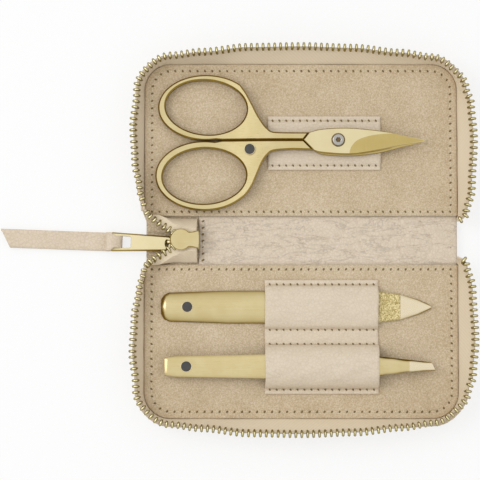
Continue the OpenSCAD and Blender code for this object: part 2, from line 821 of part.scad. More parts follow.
module at_tweezers() {
    translate([tweezers_x0, tweezers_y, tweezers_z]) children();
}

module tweezers_upper_arm() {
    color(gold) at_tweezers() arm();
}

module tweezers_lower_arm() {
    color(gold) at_tweezers() mirror([0, 0, 1]) arm();
}

tweezers_mark_x = 7.3;
module tweezers_mark() {
    color(enamel)
        at_tweezers()
            translate([tweezers_mark_x, 0, arm_inner(tweezers_mark_x / tweezers_l) + arm_t + 0.01])
                cylinder(r = mark_r, h = mark_t, $fn = 48);
}

module lower() {
    mirror([0, 1, 0]) children();
}

tooth_start = tooth_pitch / 4;
lower() cover_leather();  // lower_leather
lower() cover_gusset();  // lower_gusset
lower() cover_board();  // lower_board
lower() cover_lining();  // lower_lining
lower() cover_tape();  // lower_zip_tape
lower() cover_teeth(tooth_start);  // lower_zip_teeth
lower() cover_stop();  // lower_zip_stop
tool_loops();
spine_leather();
spine_lining();
spine_zip_tape();
spine_zip_teeth();
zip_bottom_stop();
cover_leather();  // upper_leather
cover_gusset();  // upper_gusset
cover_board();  // upper_board
cover_lining();  // upper_lining
cover_tape();  // upper_zip_tape
cover_teeth(tooth_start + tooth_pitch / 2);  // upper_zip_teeth
cover_stop();  // upper_zip_stop
scissors_loop();
slider_body();
slider_bail();
puller_plate();
puller_strap();
scissors_under_half();
scissors_screw();
scissors_top_half();
scissors_mark();
file_body();
file_grit();
file_mark();
tweezers_lower_arm();
tweezers_upper_arm();
tweezers_mark();
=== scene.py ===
"""Manicure set case lying open: the looks of the leather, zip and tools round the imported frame."""
import math

import bmesh
import bpy
from mathutils import Matrix, Vector, noise


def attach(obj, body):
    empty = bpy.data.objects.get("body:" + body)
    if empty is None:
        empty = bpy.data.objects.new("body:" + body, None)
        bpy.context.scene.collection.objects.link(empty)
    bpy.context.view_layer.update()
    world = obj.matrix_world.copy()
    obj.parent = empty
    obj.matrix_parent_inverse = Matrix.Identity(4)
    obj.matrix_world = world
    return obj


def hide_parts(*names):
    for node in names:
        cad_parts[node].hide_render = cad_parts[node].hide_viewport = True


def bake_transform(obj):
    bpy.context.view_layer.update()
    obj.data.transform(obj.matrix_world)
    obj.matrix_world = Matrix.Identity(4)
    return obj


MM = 0.001
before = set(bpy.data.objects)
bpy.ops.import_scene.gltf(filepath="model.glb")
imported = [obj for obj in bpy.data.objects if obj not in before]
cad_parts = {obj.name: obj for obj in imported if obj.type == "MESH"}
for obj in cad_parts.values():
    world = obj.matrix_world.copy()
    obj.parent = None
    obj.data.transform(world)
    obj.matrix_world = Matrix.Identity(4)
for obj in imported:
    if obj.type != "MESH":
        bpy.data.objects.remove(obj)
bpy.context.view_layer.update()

# ---------------------------------------------------------------- measures, in millimetres
PANEL_HALF = 53.7      # half the width of a lining panel
FOLD_Y = 8.1           # each fold line's distance from the spine's middle
FOLD_Z = 2.0           # the fold lines' height
COVER_Y0 = 8.3         # near and far edges of a lining panel
COVER_Y1 = 60.9
CORNER_R = 9.0
LEATHER_T = 1.2
STITCH = 2.55          # pitch of the stitches round the panels
PANEL_Z = 3.15         # top of the suede panels
PARTING_Z = 10.1       # height of the zip's parting line
BAND_H = 6.2           # height of the leather band outside the zip
TAPE_IN, TAPE_OUT = 0.08, 0.53
TAPE_MID = (TAPE_IN + TAPE_OUT) / 2
BAND_OUT = 2.05        # the leather band's outer side, out from the panel's edge
TOOTH_PITCH = 2.0
WALL_P0 = 2 / (COVER_Y1 - CORNER_R - COVER_Y0)   # where each cover's chain starts round its edge
SPINE_X0, SPINE_X1, TAB_X = -53.0, 53.3, -35.05   # the spine's ends, and its inner leather's left end
SLIDER_Z0 = 4.05       # underside of the slider
SLIDER_PLATE_T = 0.8
CHANNEL_H = 2.25       # the gap between the slider's plates
SLIDER_Z = SLIDER_Z0 + SLIDER_PLATE_T + CHANNEL_H / 2
SLIDER_TOP = SLIDER_Z0 + SLIDER_PLATE_T + CHANNEL_H    # underside of the slider's top plate
# How far the wall leans out at the zip, by the place round the cover's edge: 0 to 1 up the left
# side, 1 to 2 the corner, 2 to 3 the far side, 3 to 4 the corner, 4 to 5 down the right side
LEAN = [(0, -1.8), (0.06, -0.5), (0.2, 1.2), (0.42, 3), (0.7, 3.7), (0.95, 2.4), (1.5, 1.2),
        (2, 2), (2.12, 3.4), (2.3, 5.2), (2.5, 5.5), (2.7, 4.9), (2.88, 3.1), (3, 1.4),
        (3.5, 0.5), (4, 2.5), (4.12, 4.4), (4.4, 5.4), (4.8, 4.5), (5, 2.2)]


def mix(a, b, f):
    """A share f of the way from a to b."""
    return a + (b - a) * f


def smooth(f):
    """0 to 1, easing in and out."""
    f = min(1, max(0, f))
    return f * f * (3 - 2 * f)


def waver(x, y, z):
    """Smooth noise, between about -1 and 1."""
    return noise.noise(Vector((x, y, z)))


def along_table(table, x, ease=lambda f: f):
    """A table's value at x, between its points."""
    if x <= table[0][0]:
        return table[0][1]
    for (x0, y0), (x1, y1) in zip(table, table[1:]):
        if x <= x1:
            return mix(y0, y1, ease((x - x0) / (x1 - x0)))
    return table[-1][1]


# ---------------------------------------------------------------- the covers' walls
def edge_place(p):
    """Centre of the arc and angle of the way out, at a place round the upper cover's edge."""
    side_y, corner_x = COVER_Y1 - CORNER_R, PANEL_HALF - CORNER_R
    if p < 1:
        return Vector((-corner_x, mix(COVER_Y0, side_y, p))), 180
    if p < 2:
        return Vector((-corner_x, side_y)), 270 - 90 * p
    if p < 3:
        return Vector((mix(-corner_x, corner_x, p - 2), side_y)), 90
    if p < 4:
        return Vector((corner_x, side_y)), 360 - 90 * p
    return Vector((corner_x, mix(side_y, COVER_Y0, p - 4))), 0


def wall_point(p, out, z):
    """A point of the upper cover's wall, out from the panel's edge before the lean."""
    centre, angle = edge_place(p)
    lean = along_table(LEAN, p, smooth) * max(0, z - PANEL_Z) / (PARTING_Z - PANEL_Z)
    reach = CORNER_R + out + lean
    a = math.radians(angle)
    return Vector((centre.x + math.cos(a) * reach, centre.y + math.sin(a) * reach, z))


RUNS = []
for step in range(401):
    place = mix(WALL_P0, 5, step / 400)
    spot = wall_point(place, TAPE_MID, PARTING_Z)
    RUNS.append((RUNS[-1][0] + (spot - last).length if RUNS else 0.0, place))
    last = spot
CHAIN_LEN = RUNS[-1][0]
HOOK = 3.4             # the chain's right end turns in by this much past the cover's edge


def hooked(run, out, z):
    """A point of the wall by its length along the chain; past the cover's edge it turns in."""
    if run <= CHAIN_LEN:
        return wall_point(along_table(RUNS, run), out, z)
    p = wall_point(5, out, z)
    t = (run - CHAIN_LEN) / HOOK
    rise = max(0, z - PANEL_Z) / (PARTING_Z - PANEL_Z)
    return p + Vector((-2.6 * t * t * rise - 0.5 * t, -2.3 * t * (0.25 + 0.75 * rise), -0.4 * t * t * rise))


def chain_frame(run):
    """Place, direction and way up of the zip's chain at a length along it."""
    at = hooked(run, TAPE_MID, PARTING_Z)
    ahead = hooked(min(run + 0.4, CHAIN_LEN + HOOK), TAPE_MID, PARTING_Z)
    behind = hooked(max(run - 0.4, 0), TAPE_MID, PARTING_Z)
    return at, ahead - behind, at - hooked(run, TAPE_MID, PARTING_Z - 3)


# The open end of the zip: from the slider up to the left end of each cover's wall
SLIDER_X1 = TAB_X + 0.15
SLIDER_X0 = SLIDER_X1 - 9.7
TAIL_X = SLIDER_X1 - 0.8
LEG_START = Vector((TAIL_X, 0, SLIDER_Z))
LEG_MOUTH = Vector((SLIDER_X0 + 1, 1.5, SLIDER_Z))
LEG_END = wall_point(WALL_P0, TAPE_MID, PARTING_Z) - Vector((0, 0.4, 0))
LEG_SPLIT = 0.35


def leg_point(f):
    """A place along the upper open leg of the zip, from the slider's tail to the wall."""
    if f < LEG_SPLIT:
        g = f / LEG_SPLIT
        return Vector((mix(LEG_START.x, LEG_MOUTH.x, g), LEG_MOUTH.y * smooth(2 * g - 1), SLIDER_Z))
    g = (f - LEG_SPLIT) / (1 - LEG_SPLIT)
    a = LEG_MOUTH + Vector((-3.4, 2.1, 0.15))
    b = LEG_END + Vector((1.6, -2.6, -0.5))
    return (LEG_MOUTH * (1 - g) ** 3 + a * 3 * g * (1 - g) ** 2 + b * 3 * g * g * (1 - g)
            + LEG_END * g ** 3)


def leg_up(f):
    """The way out of the tape there: level in the slider and upright at the wall."""
    wall_up = (wall_point(WALL_P0, 0, PARTING_Z) - wall_point(WALL_P0, 0, PANEL_Z)).normalized()
    g = smooth((f - LEG_SPLIT) / (1 - LEG_SPLIT))
    return (Vector((0, -1, 0)) * (1 - g) + wall_up * g).normalized()


def leg_frame(f):
    """Place, direction and way up of the open leg's teeth."""
    return leg_point(f), leg_point(min(1, f + 0.02)) - leg_point(max(0, f - 0.02)), leg_up(f)


# ---------------------------------------------------------------- mesh tools
def along_points(points, u):
    """The place and the direction at a share u of the steps between points."""
    k = u * (len(points) - 1)
    i = min(int(k), len(points) - 2)
    a, b = Vector(points[i]), Vector(points[i + 1])
    return a.lerp(b, k - i), (b - a).normalized()


def sheet(columns, rows, place, side=1, wrap=False):
    """A grid bent to place(u, v), in mm. side -1 mirrors it to the lower cover, and wrap closes it
    round v into a tube with filled ends."""
    bm = bmesh.new()
    bm.loops.layers.uv.new("UVMap")
    bmesh.ops.create_grid(bm, x_segments=columns, y_segments=rows, size=0.5, calc_uvs=True)
    for v in bm.verts:
        point = place(v.co.x + 0.5, v.co.y + 0.5)
        v.co = Vector((point[0], point[1] * side, point[2]))
    if side < 0:
        bmesh.ops.reverse_faces(bm, faces=bm.faces)
    if wrap:
        bmesh.ops.remove_doubles(bm, verts=bm.verts, dist=1e-4)
        rims = [e for e in bm.edges if e.is_boundary]
        bmesh.ops.holes_fill(bm, edges=rims, sides=0)
        bmesh.ops.recalc_face_normals(bm, faces=bm.faces)
    return bm


def scale_uvs(bm, width, height):
    """Makes a sheet's UVs run in millimetres."""
    uv = bm.loops.layers.uv.active
    for face in bm.faces:
        for loop in face.loops:
            loop[uv].uv = (loop[uv].uv.x * width, loop[uv].uv.y * height)


def slab(outline, z, thickness, rounding=0.0, cuts=(), holes=(), steps=3):
    """A flat plate from closed outlines, its upper and lower rims rounded by insets."""
    bm = bmesh.new()
    for loop in [outline, *holes]:
        ring = [bm.verts.new((x, y, z)) for x, y in loop]
        for a, b in zip(ring, ring[1:] + ring[:1]):
            bm.edges.new((a, b))
    bmesh.ops.triangle_fill(bm, use_beauty=True, use_dissolve=False, edges=bm.edges)
    for face in bm.faces:
        if face.normal.z > 0:
            face.normal_flip()
    lower = bm.faces[:]
    made = bmesh.ops.extrude_face_region(bm, geom=lower)["geom"]
    upper = [g for g in made if isinstance(g, bmesh.types.BMFace)]
    for v in bm.verts:
        v.co.z = z + rounding
    for v in {v for f in upper for v in f.verts}:
        v.co.z = z + thickness - rounding
    bmesh.ops.recalc_face_normals(bm, faces=bm.faces)
    if rounding:
        for faces in (upper, lower):
            done = 0.0, 0.0
            for i in range(1, steps + 1):
                a = math.radians(90 * i / steps)
                now = (1 - math.cos(a)) * rounding, math.sin(a) * rounding
                bmesh.ops.inset_region(bm, faces=faces, thickness=now[0] - done[0],
                                       depth=now[1] - done[1], use_boundary=True,
                                       use_even_offset=True)
                done = now
    for axis, value in cuts:
        normal = Vector((1, 0, 0)) if axis == "x" else Vector((0, 1, 0))
        bmesh.ops.bisect_plane(bm, geom=bm.verts[:] + bm.edges[:] + bm.faces[:],
                               plane_co=normal * value, plane_no=normal)
    return bm


def oval(cx, cy, rx, ry, count=72, start=0.0, end=360.0):
    """Points round an ellipse, from start to end in degrees."""
    full = abs(end - start) >= 360
    n = count if full else count - 1
    return [(cx + rx * math.cos(math.radians(mix(start, end, i / n))),
             cy + ry * math.sin(math.radians(mix(start, end, i / n)))) for i in range(count)]


def tilted(points, degrees):
    """Points turned about their middle."""
    cx, cy = (sum(p[i] for p in points) / len(points) for i in (0, 1))
    c, s = math.cos(math.radians(degrees)), math.sin(math.radians(degrees))
    return [(cx + (x - cx) * c - (y - cy) * s, cy + (x - cx) * s + (y - cy) * c) for x, y in points]


def smooth_line(points, per=6):
    """A Catmull-Rom line through points."""
    line = []
    for i in range(len(points) - 1):
        a, b, c, d = (Vector(points[min(max(j, 0), len(points) - 1)]) for j in (i - 1, i, i + 1, i + 2))
        for k in range(per):
            t = k / per
            q = 0.5 * ((2 * b) + (c - a) * t + (2 * a - 5 * b + 4 * c - d) * t * t
                       + (3 * b - a - 3 * c + d) * t ** 3)
            line.append(tuple(q))
    line.append(tuple(points[-1]))
    return line


def standing(at, along, up):
    """A turn and place: Z along the chain and Y out of the tape."""
    t = along.normalized()
    u = (up - t * up.dot(t)).normalized()
    w = u.cross(t)
    turn = Matrix((w, u, t)).transposed().to_4x4()
    return Matrix.Translation(at) @ turn


def add_copy(bm, pattern, matrix=Matrix(), material=0):
    """Adds a pattern mesh to bm, placed by a matrix, in the piece's first or second material."""
    verts, faces = len(bm.verts), len(bm.faces)
    bm.from_mesh(pattern)
    bm.verts.ensure_lookup_table()
    bm.faces.ensure_lookup_table()
    bmesh.ops.transform(bm, matrix=matrix, verts=bm.verts[verts:])
    for face in bm.faces[faces:]:
        face.material_index = material


def pattern_mesh(bm, name):
    """The mesh of a bmesh that is copied many times."""
    mesh = bpy.data.meshes.new(name)
    bm.to_mesh(mesh)
    bm.free()
    return mesh


def finished(bm, name, materials, body=None, blend=None, replaces=(), thickness=0.0,
             rim=0.0, sharp=38, tip_x=None):
    """Turns a bmesh in mm into a piece in metres that rides on its body, or, when blend is given, stays
    unparented with its placement baked in. Faces past tip_x take the second material."""
    bmesh.ops.scale(bm, vec=(MM, MM, MM), verts=bm.verts)
    mesh = bpy.data.meshes.new(name)
    if tip_x is not None:
        for face in bm.faces:
            face.material_index = int(face.calc_center_median().x > tip_x * MM)
    bm.to_mesh(mesh)
    bm.free()
    mesh.shade_smooth()
    mesh.set_sharp_from_angle(angle=math.radians(sharp))
    piece = bpy.data.objects.new(name, mesh)
    bpy.context.scene.collection.objects.link(piece)
    for material in materials if isinstance(materials, list) else [materials]:
        mesh.materials.append(material)
    if thickness:
        wall = piece.modifiers.new("thickness", "SOLIDIFY")
        wall.thickness = thickness * MM
        wall.offset = -1
        wall.use_even_offset = True
    if rim:
        soft = piece.modifiers.new("rim", "BEVEL")
        soft.width = rim * MM
        soft.segments = 2
        soft.limit_method = "ANGLE"
        soft.angle_limit = math.radians(50)
        soft.harden_normals = False
    if blend:
        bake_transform(piece)
    else:
        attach(piece, body)
    if replaces:
        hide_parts(*replaces)


def recoat(node, material):
    """Gives a CAD node that keeps its own shape another material."""
    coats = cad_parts[node].data.materials
    coats.clear()
    coats.append(material)


# ---------------------------------------------------------------- materials
def linear(code):
    """An sRGB hex value as linear RGBA."""
    value = [int(code[i:i + 2], 16) / 255 for i in (1, 3, 5)]
    return [c / 12.92 if c <= 0.04045 else ((c + 0.055) / 1.055) ** 2.4 for c in value] + [1]


def join(tree, node, links):
    """Links sockets, or the first outputs of nodes, into a node's sockets."""
    for key, source in links.items():
        tree.links.new(getattr(source, "outputs", [source])[0], node.inputs[key])


def add(tree, kind, settings=None, links=None):
    """Adds a node, with settings of its sockets or properties, and links into its sockets."""
    node = tree.nodes.new("ShaderNode" + kind)
    for key, value in (settings or {}).items():
        if isinstance(key, int) or key in node.inputs:
            node.inputs[key].default_value = value
        else:
            setattr(node, key, value)
    join(tree, node, links or {})
    return node


def started(name, **sockets):
    """A material and its nodes, with its shader's constant sockets set."""
    material = bpy.data.materials.new(name)
    material.use_nodes = True
    shader = material.node_tree.nodes["Principled BSDF"]
    for key, value in sockets.items():
        shader.inputs[key.replace("_", " ")].default_value = value
    return material, material.node_tree


def surfaced(material, **sources):
    """The material with nodes linked into its shader's sockets."""
    tree = material.node_tree
    links = {key.replace("_", " "): source for key, source in sources.items()}
    join(tree, tree.nodes["Principled BSDF"], links)
    return material


def pebbled_calf(name, base, crease, light, wrinkles=0.35):
    """Milled calf leather: pebbles about 1.1 mm across with fine creases between them, longer
    wrinkles from the tumbling, and a soft low sheen. The crease colour in the furrows and the darkening
    along the wrinkles are painted shade."""
    material, tree = started(name, Roughness=0.6, Specular_IOR_Level=0.35)
    place = add(tree, "TexCoord").outputs["Object"]
    drift = add(tree, "TexNoise", {"Scale": 420, "Detail": 2}, {"Vector": place})
    bent = add(tree, "MixRGB", {"Fac": 0.0016, "blend_type": "ADD"},
               {"Color1": place, "Color2": drift.outputs["Color"]})
    pebble = add(tree, "TexVoronoi", {"Scale": 900, "feature": "DISTANCE_TO_EDGE"}, {"Vector": bent})
    furrow = add(tree, "MapRange", {"From Max": 0.16}, {"Value": pebble.outputs["Distance"]})
    slant = add(tree, "Mapping", {"Rotation": (0, 0, 0.6), "Scale": (0.28, 1, 1)}, {"Vector": place})
    fold = add(tree, "TexNoise", {"Scale": 330, "Detail": 4, "Roughness": 0.6, "Distortion": 0.8},
               {"Vector": slant})
    crack = add(tree, "Math", {"operation": "SUBTRACT", 1: 0.5}, {0: fold})
    ridge = add(tree, "Math", {"operation": "ABSOLUTE"}, {0: crack})
    line = add(tree, "MapRange", {"From Max": 0.035}, {"Value": ridge})
    pores = add(tree, "TexNoise", {"Scale": 3200, "Detail": 2}, {"Vector": place})
    grain = add(tree, "Math", {"operation": "MULTIPLY_ADD", 1: 0.25}, {0: pores, 2: furrow})
    height = add(tree, "Math", {"operation": "MULTIPLY_ADD", 1: wrinkles}, {0: line, 2: grain})
    bump = add(tree, "Bump", {"Strength": 0.35, "Distance": 0.00014}, {"Height": height})
    cloud = add(tree, "TexNoise", {"Scale": 130, "Detail": 3}, {"Vector": place})
    body = add(tree, "MixRGB", {"Color1": linear(base), "Color2": linear(light)}, {"Fac": cloud})
    # Painted shade: the crease colour fills the furrows between the pebbles, and the wrinkle lines darken
    # the colour further.
    shaded_furrows = add(tree, "MixRGB", {"Color1": linear(crease)}, {"Fac": furrow, "Color2": body})
    wrinkle_shade = add(tree, "MapRange", {"To Min": 1 - 0.2 * wrinkles}, {"Value": line})
    shade = add(tree, "MixRGB", {"Fac": 1, "blend_type": "MULTIPLY"}, {"Color1": shaded_furrows, "Color2": wrinkle_shade})
    return surfaced(material, Base_Color=shade, Normal=bump)


def brushed_suede(name, base, dark, light):
    """Split suede: a short nap that mottles light and dark over a millimetre or so, with no gloss
    and a faint sheen at grazing angles."""
    material, tree = started(name, Roughness=0.95, Specular_IOR_Level=0.15, Sheen_Weight=0.25,
                             Sheen_Roughness=0.6)
    place = add(tree, "TexCoord").outputs["Object"]
    nap = add(tree, "TexNoise", {"Scale": 2400, "Detail": 3, "Roughness": 0.7}, {"Vector": place})
    patch = add(tree, "TexNoise", {"Scale": 85, "Detail": 4, "Roughness": 0.6}, {"Vector": place})
    both = add(tree, "Math", {"operation": "MULTIPLY_ADD", 1: 0.28}, {0: patch, 2: nap})
    ramp = add(tree, "ValToRGB", {}, {"Fac": both})
    stops = ramp.color_ramp.elements
    stops[0].position, stops[0].color = 0.44, linear(dark)
    stops[1].position, stops[1].color = 0.84, linear(light)
    stops.new(0.64).color = linear(base)
    bump = add(tree, "Bump", {"Strength": 0.35, "Distance": 0.0002}, {"Height": nap})
    return surfaced(material, Base_Color=ramp, Normal=bump)


def twill_tape(name, base, dark):
    """Woven zip tape: a diagonal twill of matt yarn, with a rib about every 0.6 mm."""
    material, tree = started(name, Roughness=0.88, Specular_IOR_Level=0.2, Sheen_Weight=0.15)
    flat = add(tree, "UVMap", {"uv_map": "UVMap"})
    rib = add(tree, "TexWave", {"Scale": 0.5, "Distortion": 0.9, "Detail": 1, "Detail Scale": 2,
                                "bands_direction": "DIAGONAL"}, {"Vector": flat})
    yarn = add(tree, "TexNoise", {"Scale": 3.5, "Detail": 2}, {"Vector": flat})
    fibre = add(tree, "Math", {"operation": "MULTIPLY_ADD", 1: 0.6}, {0: yarn, 2: rib.outputs["Fac"]})
    colour = add(tree, "MixRGB", {"Color1": linear(dark), "Color2": linear(base)}, {"Fac": fibre})
    bump = add(tree, "Bump", {"Strength": 0.15, "Distance": 0.00008}, {"Height": fibre})
    return surfaced(material, Base_Color=colour, Normal=bump)


def satin_gold(name, base, dark, side, rough, streak=0.0, grain=(60, 4200, 4200)):
    """Stainless steel with a light gold vapour coating: satin, with fine brush lines along the
    tool where streak is above nothing. Its steep sides take the side colour, a painted shade for the dim
    reflections there."""
    material, tree = started(name, Metallic=1.0)
    facing = add(tree, "TexCoord").outputs
    place = facing["Object"]
    drawn = add(tree, "Mapping", {"Scale": grain}, {"Vector": place})
    lines = add(tree, "TexNoise", {"Scale": 1, "Detail": 3, "Roughness": 0.6}, {"Vector": drawn})
    cloud = add(tree, "TexNoise", {"Scale": 160, "Detail": 3}, {"Vector": place})
    tone = add(tree, "Math", {"operation": "MULTIPLY_ADD", 1: 0.25 + streak}, {0: lines, 2: cloud})
    coat = add(tree, "MixRGB", {"Color1": linear(dark), "Color2": linear(base)}, {"Fac": tone})
    # Painted shade: the side colour is mixed in as the surface turns away from level, deepest on steep
    # sides.
    upward_for_painted_shade = add(tree, "VectorMath", {"operation": "DOT_PRODUCT", 1: (0, 0, 1)}, {0: facing["Normal"]})
    level = add(tree, "Math", {"operation": "ABSOLUTE"}, {0: upward_for_painted_shade.outputs["Value"]})
    flat = add(tree, "MapRange", {"From Min": 0.68, "From Max": 0.99}, {"Value": level})
    colour = add(tree, "MixRGB", {"Color1": linear(side)}, {"Fac": flat, "Color2": coat})
    gloss = add(tree, "MapRange", {"To Min": rough - 0.05, "To Max": rough + 0.08}, {"Value": lines})
    bump = add(tree, "Bump", {"Strength": 0.08 + 0.25 * streak, "Distance": 0.00004}, {"Height": lines})
    return surfaced(material, Base_Color=colour, Roughness=gloss, Normal=bump)


def gold_grit(name):
    """Diamond-type grit under the gold coating: sharp grains about 0.3 mm across that glint."""
    material, tree = started(name, Metallic=0.85, Roughness=0.5)
    place = add(tree, "TexCoord").outputs["Object"]
    grains = add(tree, "TexVoronoi", {"Scale": 2900}, {"Vector": place}).outputs
    colour = add(tree, "ValToRGB", {}, {"Fac": grains["Color"]})
    stops = colour.color_ramp.elements
    stops[0].position, stops[0].color = 0.2, linear("#A8955C")
    stops[1].position, stops[1].color = 0.8, linear("#E5D6A4")
    bump = add(tree, "Bump", {"Strength": 0.7, "Distance": 0.0001}, {"Height": grains["Distance"]})
    return surfaced(material, Base_Color=colour, Normal=bump)


def bare_steel(name):
    """Turned stainless steel, bright, with faint rings from the lathe."""
    material, tree = started(name, Metallic=1.0, Roughness=0.24)
    place = add(tree, "TexCoord").outputs["Object"]
    about = add(tree, "Mapping", {"Location": (-0.0127, -0.0337, 0)}, {"Vector": place})
    rings = add(tree, "TexWave", {"Scale": 900, "wave_type": "RINGS", "rings_direction": "Z"},
                {"Vector": about})
    colour = add(tree, "MixRGB", {"Color1": linear("#9C9A94"), "Color2": linear("#C2BFB8")},
                 {"Fac": rings.outputs["Fac"]})
    return surfaced(material, Base_Color=colour)


def dark_enamel(name):
    """Hard-fired dark enamel, smooth and glossy, with a slight waver in its surface."""
    material, tree = started(name, Roughness=0.18, Coat_Weight=0.4)
    place = add(tree, "TexCoord").outputs["Object"]
    swell = add(tree, "TexNoise", {"Scale": 700, "Detail": 1}, {"Vector": place})
    colour = add(tree, "MixRGB", {"Color1": linear("#282725"), "Color2": linear("#3D3B38")}, {"Fac": swell})
    bump = add(tree, "Bump", {"Strength": 0.15, "Distance": 0.00003}, {"Height": swell})
    return surfaced(material, Base_Color=colour, Normal=bump)


def twisted_thread(name, base, dark):
    """Bonded polyester sewing thread: a tight twist with a little sheen."""
    material, tree = started(name, Roughness=0.6)
    place = add(tree, "TexCoord").outputs["Object"]
    twist = add(tree, "TexWave", {"Scale": 900, "bands_direction": "DIAGONAL"}, {"Vector": place})
    colour = add(tree, "MixRGB", {"Color1": linear(dark), "Color2": linear(base)},
                 {"Fac": twist.outputs["Fac"]})
    return surfaced(material, Base_Color=colour)


def needle_hole_shade(name):
    """Painted shade: the dark, speckled colour of the shadow in a needle hole, on a bead set in it."""
    material, tree = started(name, Roughness=1.0, Specular_IOR_Level=0.0)
    place = add(tree, "TexCoord").outputs["Object"]
    speck = add(tree, "TexNoise", {"Scale": 900}, {"Vector": place})
    colour = add(tree, "MixRGB", {"Color1": linear("#5E4E36"), "Color2": linear("#94805C")}, {"Fac": speck})
    return surfaced(material, Base_Color=colour)


def pressed_board(name):
    """Grey pressed board with loose fibres."""
    material, tree = started(name, Roughness=0.9)
    place = add(tree, "TexCoord").outputs["Object"]
    fibre = add(tree, "TexNoise", {"Scale": 900, "Detail": 4}, {"Vector": place})
    colour = add(tree, "MixRGB", {"Color1": linear("#7D766B"), "Color2": linear("#A39B8E")}, {"Fac": fibre})
    return surfaced(material, Base_Color=colour)


# The second colour of each calf is painted shade in the furrows between the pebbles.
CALF = pebbled_calf("milled_calf", "#D8C7B1", "#D0BFA7", "#DDCEBA")
CALF_INSIDE = pebbled_calf("milled_calf_spine", "#D8C8B3", "#D0C0AA", "#DDCFBC", 1.1)
# A darker copy of the same calf: painted shade for the creased leather under the slider.
SHADED_CALF_END = pebbled_calf("creased_calf_end_painted_shade", "#CBB99C", "#B7A283", "#D4C4A9", 1.6)
CALF_LOOP = pebbled_calf("milled_calf_loops", "#DACAB4", "#D5C5AE", "#DED1BD", 0.3)
SUEDE = brushed_suede("brushed_suede", "#C7B395", "#AF9B79", "#DCCCB2")
TAPE = twill_tape("twill_tape", "#E2D2B7", "#DBCAAD")
# The third colour of each gold is painted shade for its steep sides.
ZIP_GOLD = satin_gold("polished_zip_gold", "#ECE3BC", "#D0C187", "#9A8C55", 0.2)
SATIN_GOLD = satin_gold("satin_gold_coat", "#E3D6AE", "#D6C797", "#9A8036", 0.3)
BRUSHED_GOLD = satin_gold("brushed_gold_coat", "#D6C698", "#C3AF74", "#8A7020", 0.28, 0.3)
GROUND_GOLD = satin_gold("ground_gold_coat", "#C6B276", "#B59D5C", "#8A722E", 0.34, 0.3, (4200, 60, 4200))
POLISHED_GOLD = satin_gold("polished_gold_coat", "#E7DABD", "#DECFAE", "#A08A46", 0.2)
GRIT = gold_grit("gold_grit")
STEEL = bare_steel("turned_steel")
ENAMEL = dark_enamel("dark_enamel")
THREAD = twisted_thread("beige_thread", "#DCCFB4", "#C2B292")
# Painted shade, for needle holes and for the screw's socket and groove.
HOLE_SHADE = needle_hole_shade("needle_hole_shade")
BOARD = pressed_board("grey_board")


# ---------------------------------------------------------------- leather and lining of the covers
SIDES = (("lower", -1), ("upper", 1))


def fold_blend(side):
    """The bodies and the two points between which leather bends over a cover's fold."""
    if side > 0:
        return "spine", "upper_cover", (0, FOLD_Y - 1.8, FOLD_Z), (0, FOLD_Y + 1.8, FOLD_Z)
    return "lower_cover", "spine", (0, -FOLD_Y - 1.8, FOLD_Z), (0, -FOLD_Y + 1.8, FOLD_Z)


def outer_leather(name, side):
    """The outer panel of one cover with its half of the spine, in one piece over the fold."""
    far = []
    for i in range(111):
        p = mix(0.03, 4.97, i / 110)
        far.append(wall_point(p, BAND_OUT - 0.5 - 1.1 * (1 - smooth(p / 0.2)), 0))
    outline = ([(SPINE_X0, -0.35), (SPINE_X0, 6.6), (SPINE_X0 - 0.5, 7.8)]
               + [(p.x, p.y) for p in far]
               + [(SPINE_X1 + 0.5, 7.8), (SPINE_X1, 6.6), (SPINE_X1, -0.35)])
    outline = [(x, y * side) for x, y in outline]
    cuts = [("y", side * (5.8 + 0.4 * i)) for i in range(12)]
    bm = slab(outline, 0, LEATHER_T, 0.35, cuts)
    nodes = [name + "_leather"] + (["spine_leather"] if side > 0 else [])
    finished(bm, name + "_outer_leather", CALF, blend=fold_blend(side), replaces=nodes)


def gusset_band(name, side):
    """The leather band that stands up outside the zip tape, rolled under at its foot."""
    def place(u, v):
        run = u * (CHAIN_LEN + 0.8)
        belly = 0.35 * math.sin(math.pi * v)
        tuck = 0.7 * (1 - min(1, v / 0.12)) ** 2
        start = 1 - smooth(run / 9)
        point = hooked(run, BAND_OUT - tuck + belly - 1.2 * start, mix(0.35, BAND_H - 2.6 * start, v))
        wave = 0.18 * waver(run * 0.09, side * 7, v * 1.5)
        return point + Vector((0, 0, wave * v))
    bm = sheet(340, 10, place, side)
    bmesh.ops.reverse_faces(bm, faces=bm.faces)
    finished(bm, name + "_gusset_band", CALF, body=name + "_cover",
             replaces=[name + "_gusset"], thickness=1.15, rim=0.3)


def zip_tape(name, side):
    """The woven tape that carries the teeth and lines the wall down to the panel."""
    length = CHAIN_LEN + HOOK

    def place(u, v):
        run = u * length
        z = mix(1.3, PARTING_Z - 0.7, v)
        ripple = 0.22 * waver(run * 0.11, side * 3, v * 2) * math.sin(math.pi * v)
        return hooked(run, TAPE_IN + ripple, z)
    bm = sheet(380, 12, place, side)
    scale_uvs(bm, length, 8.5)
    finished(bm, name + "_woven_tape", TAPE, body=name + "_cover",
             replaces=[name + "_zip_tape"], thickness=0.42)


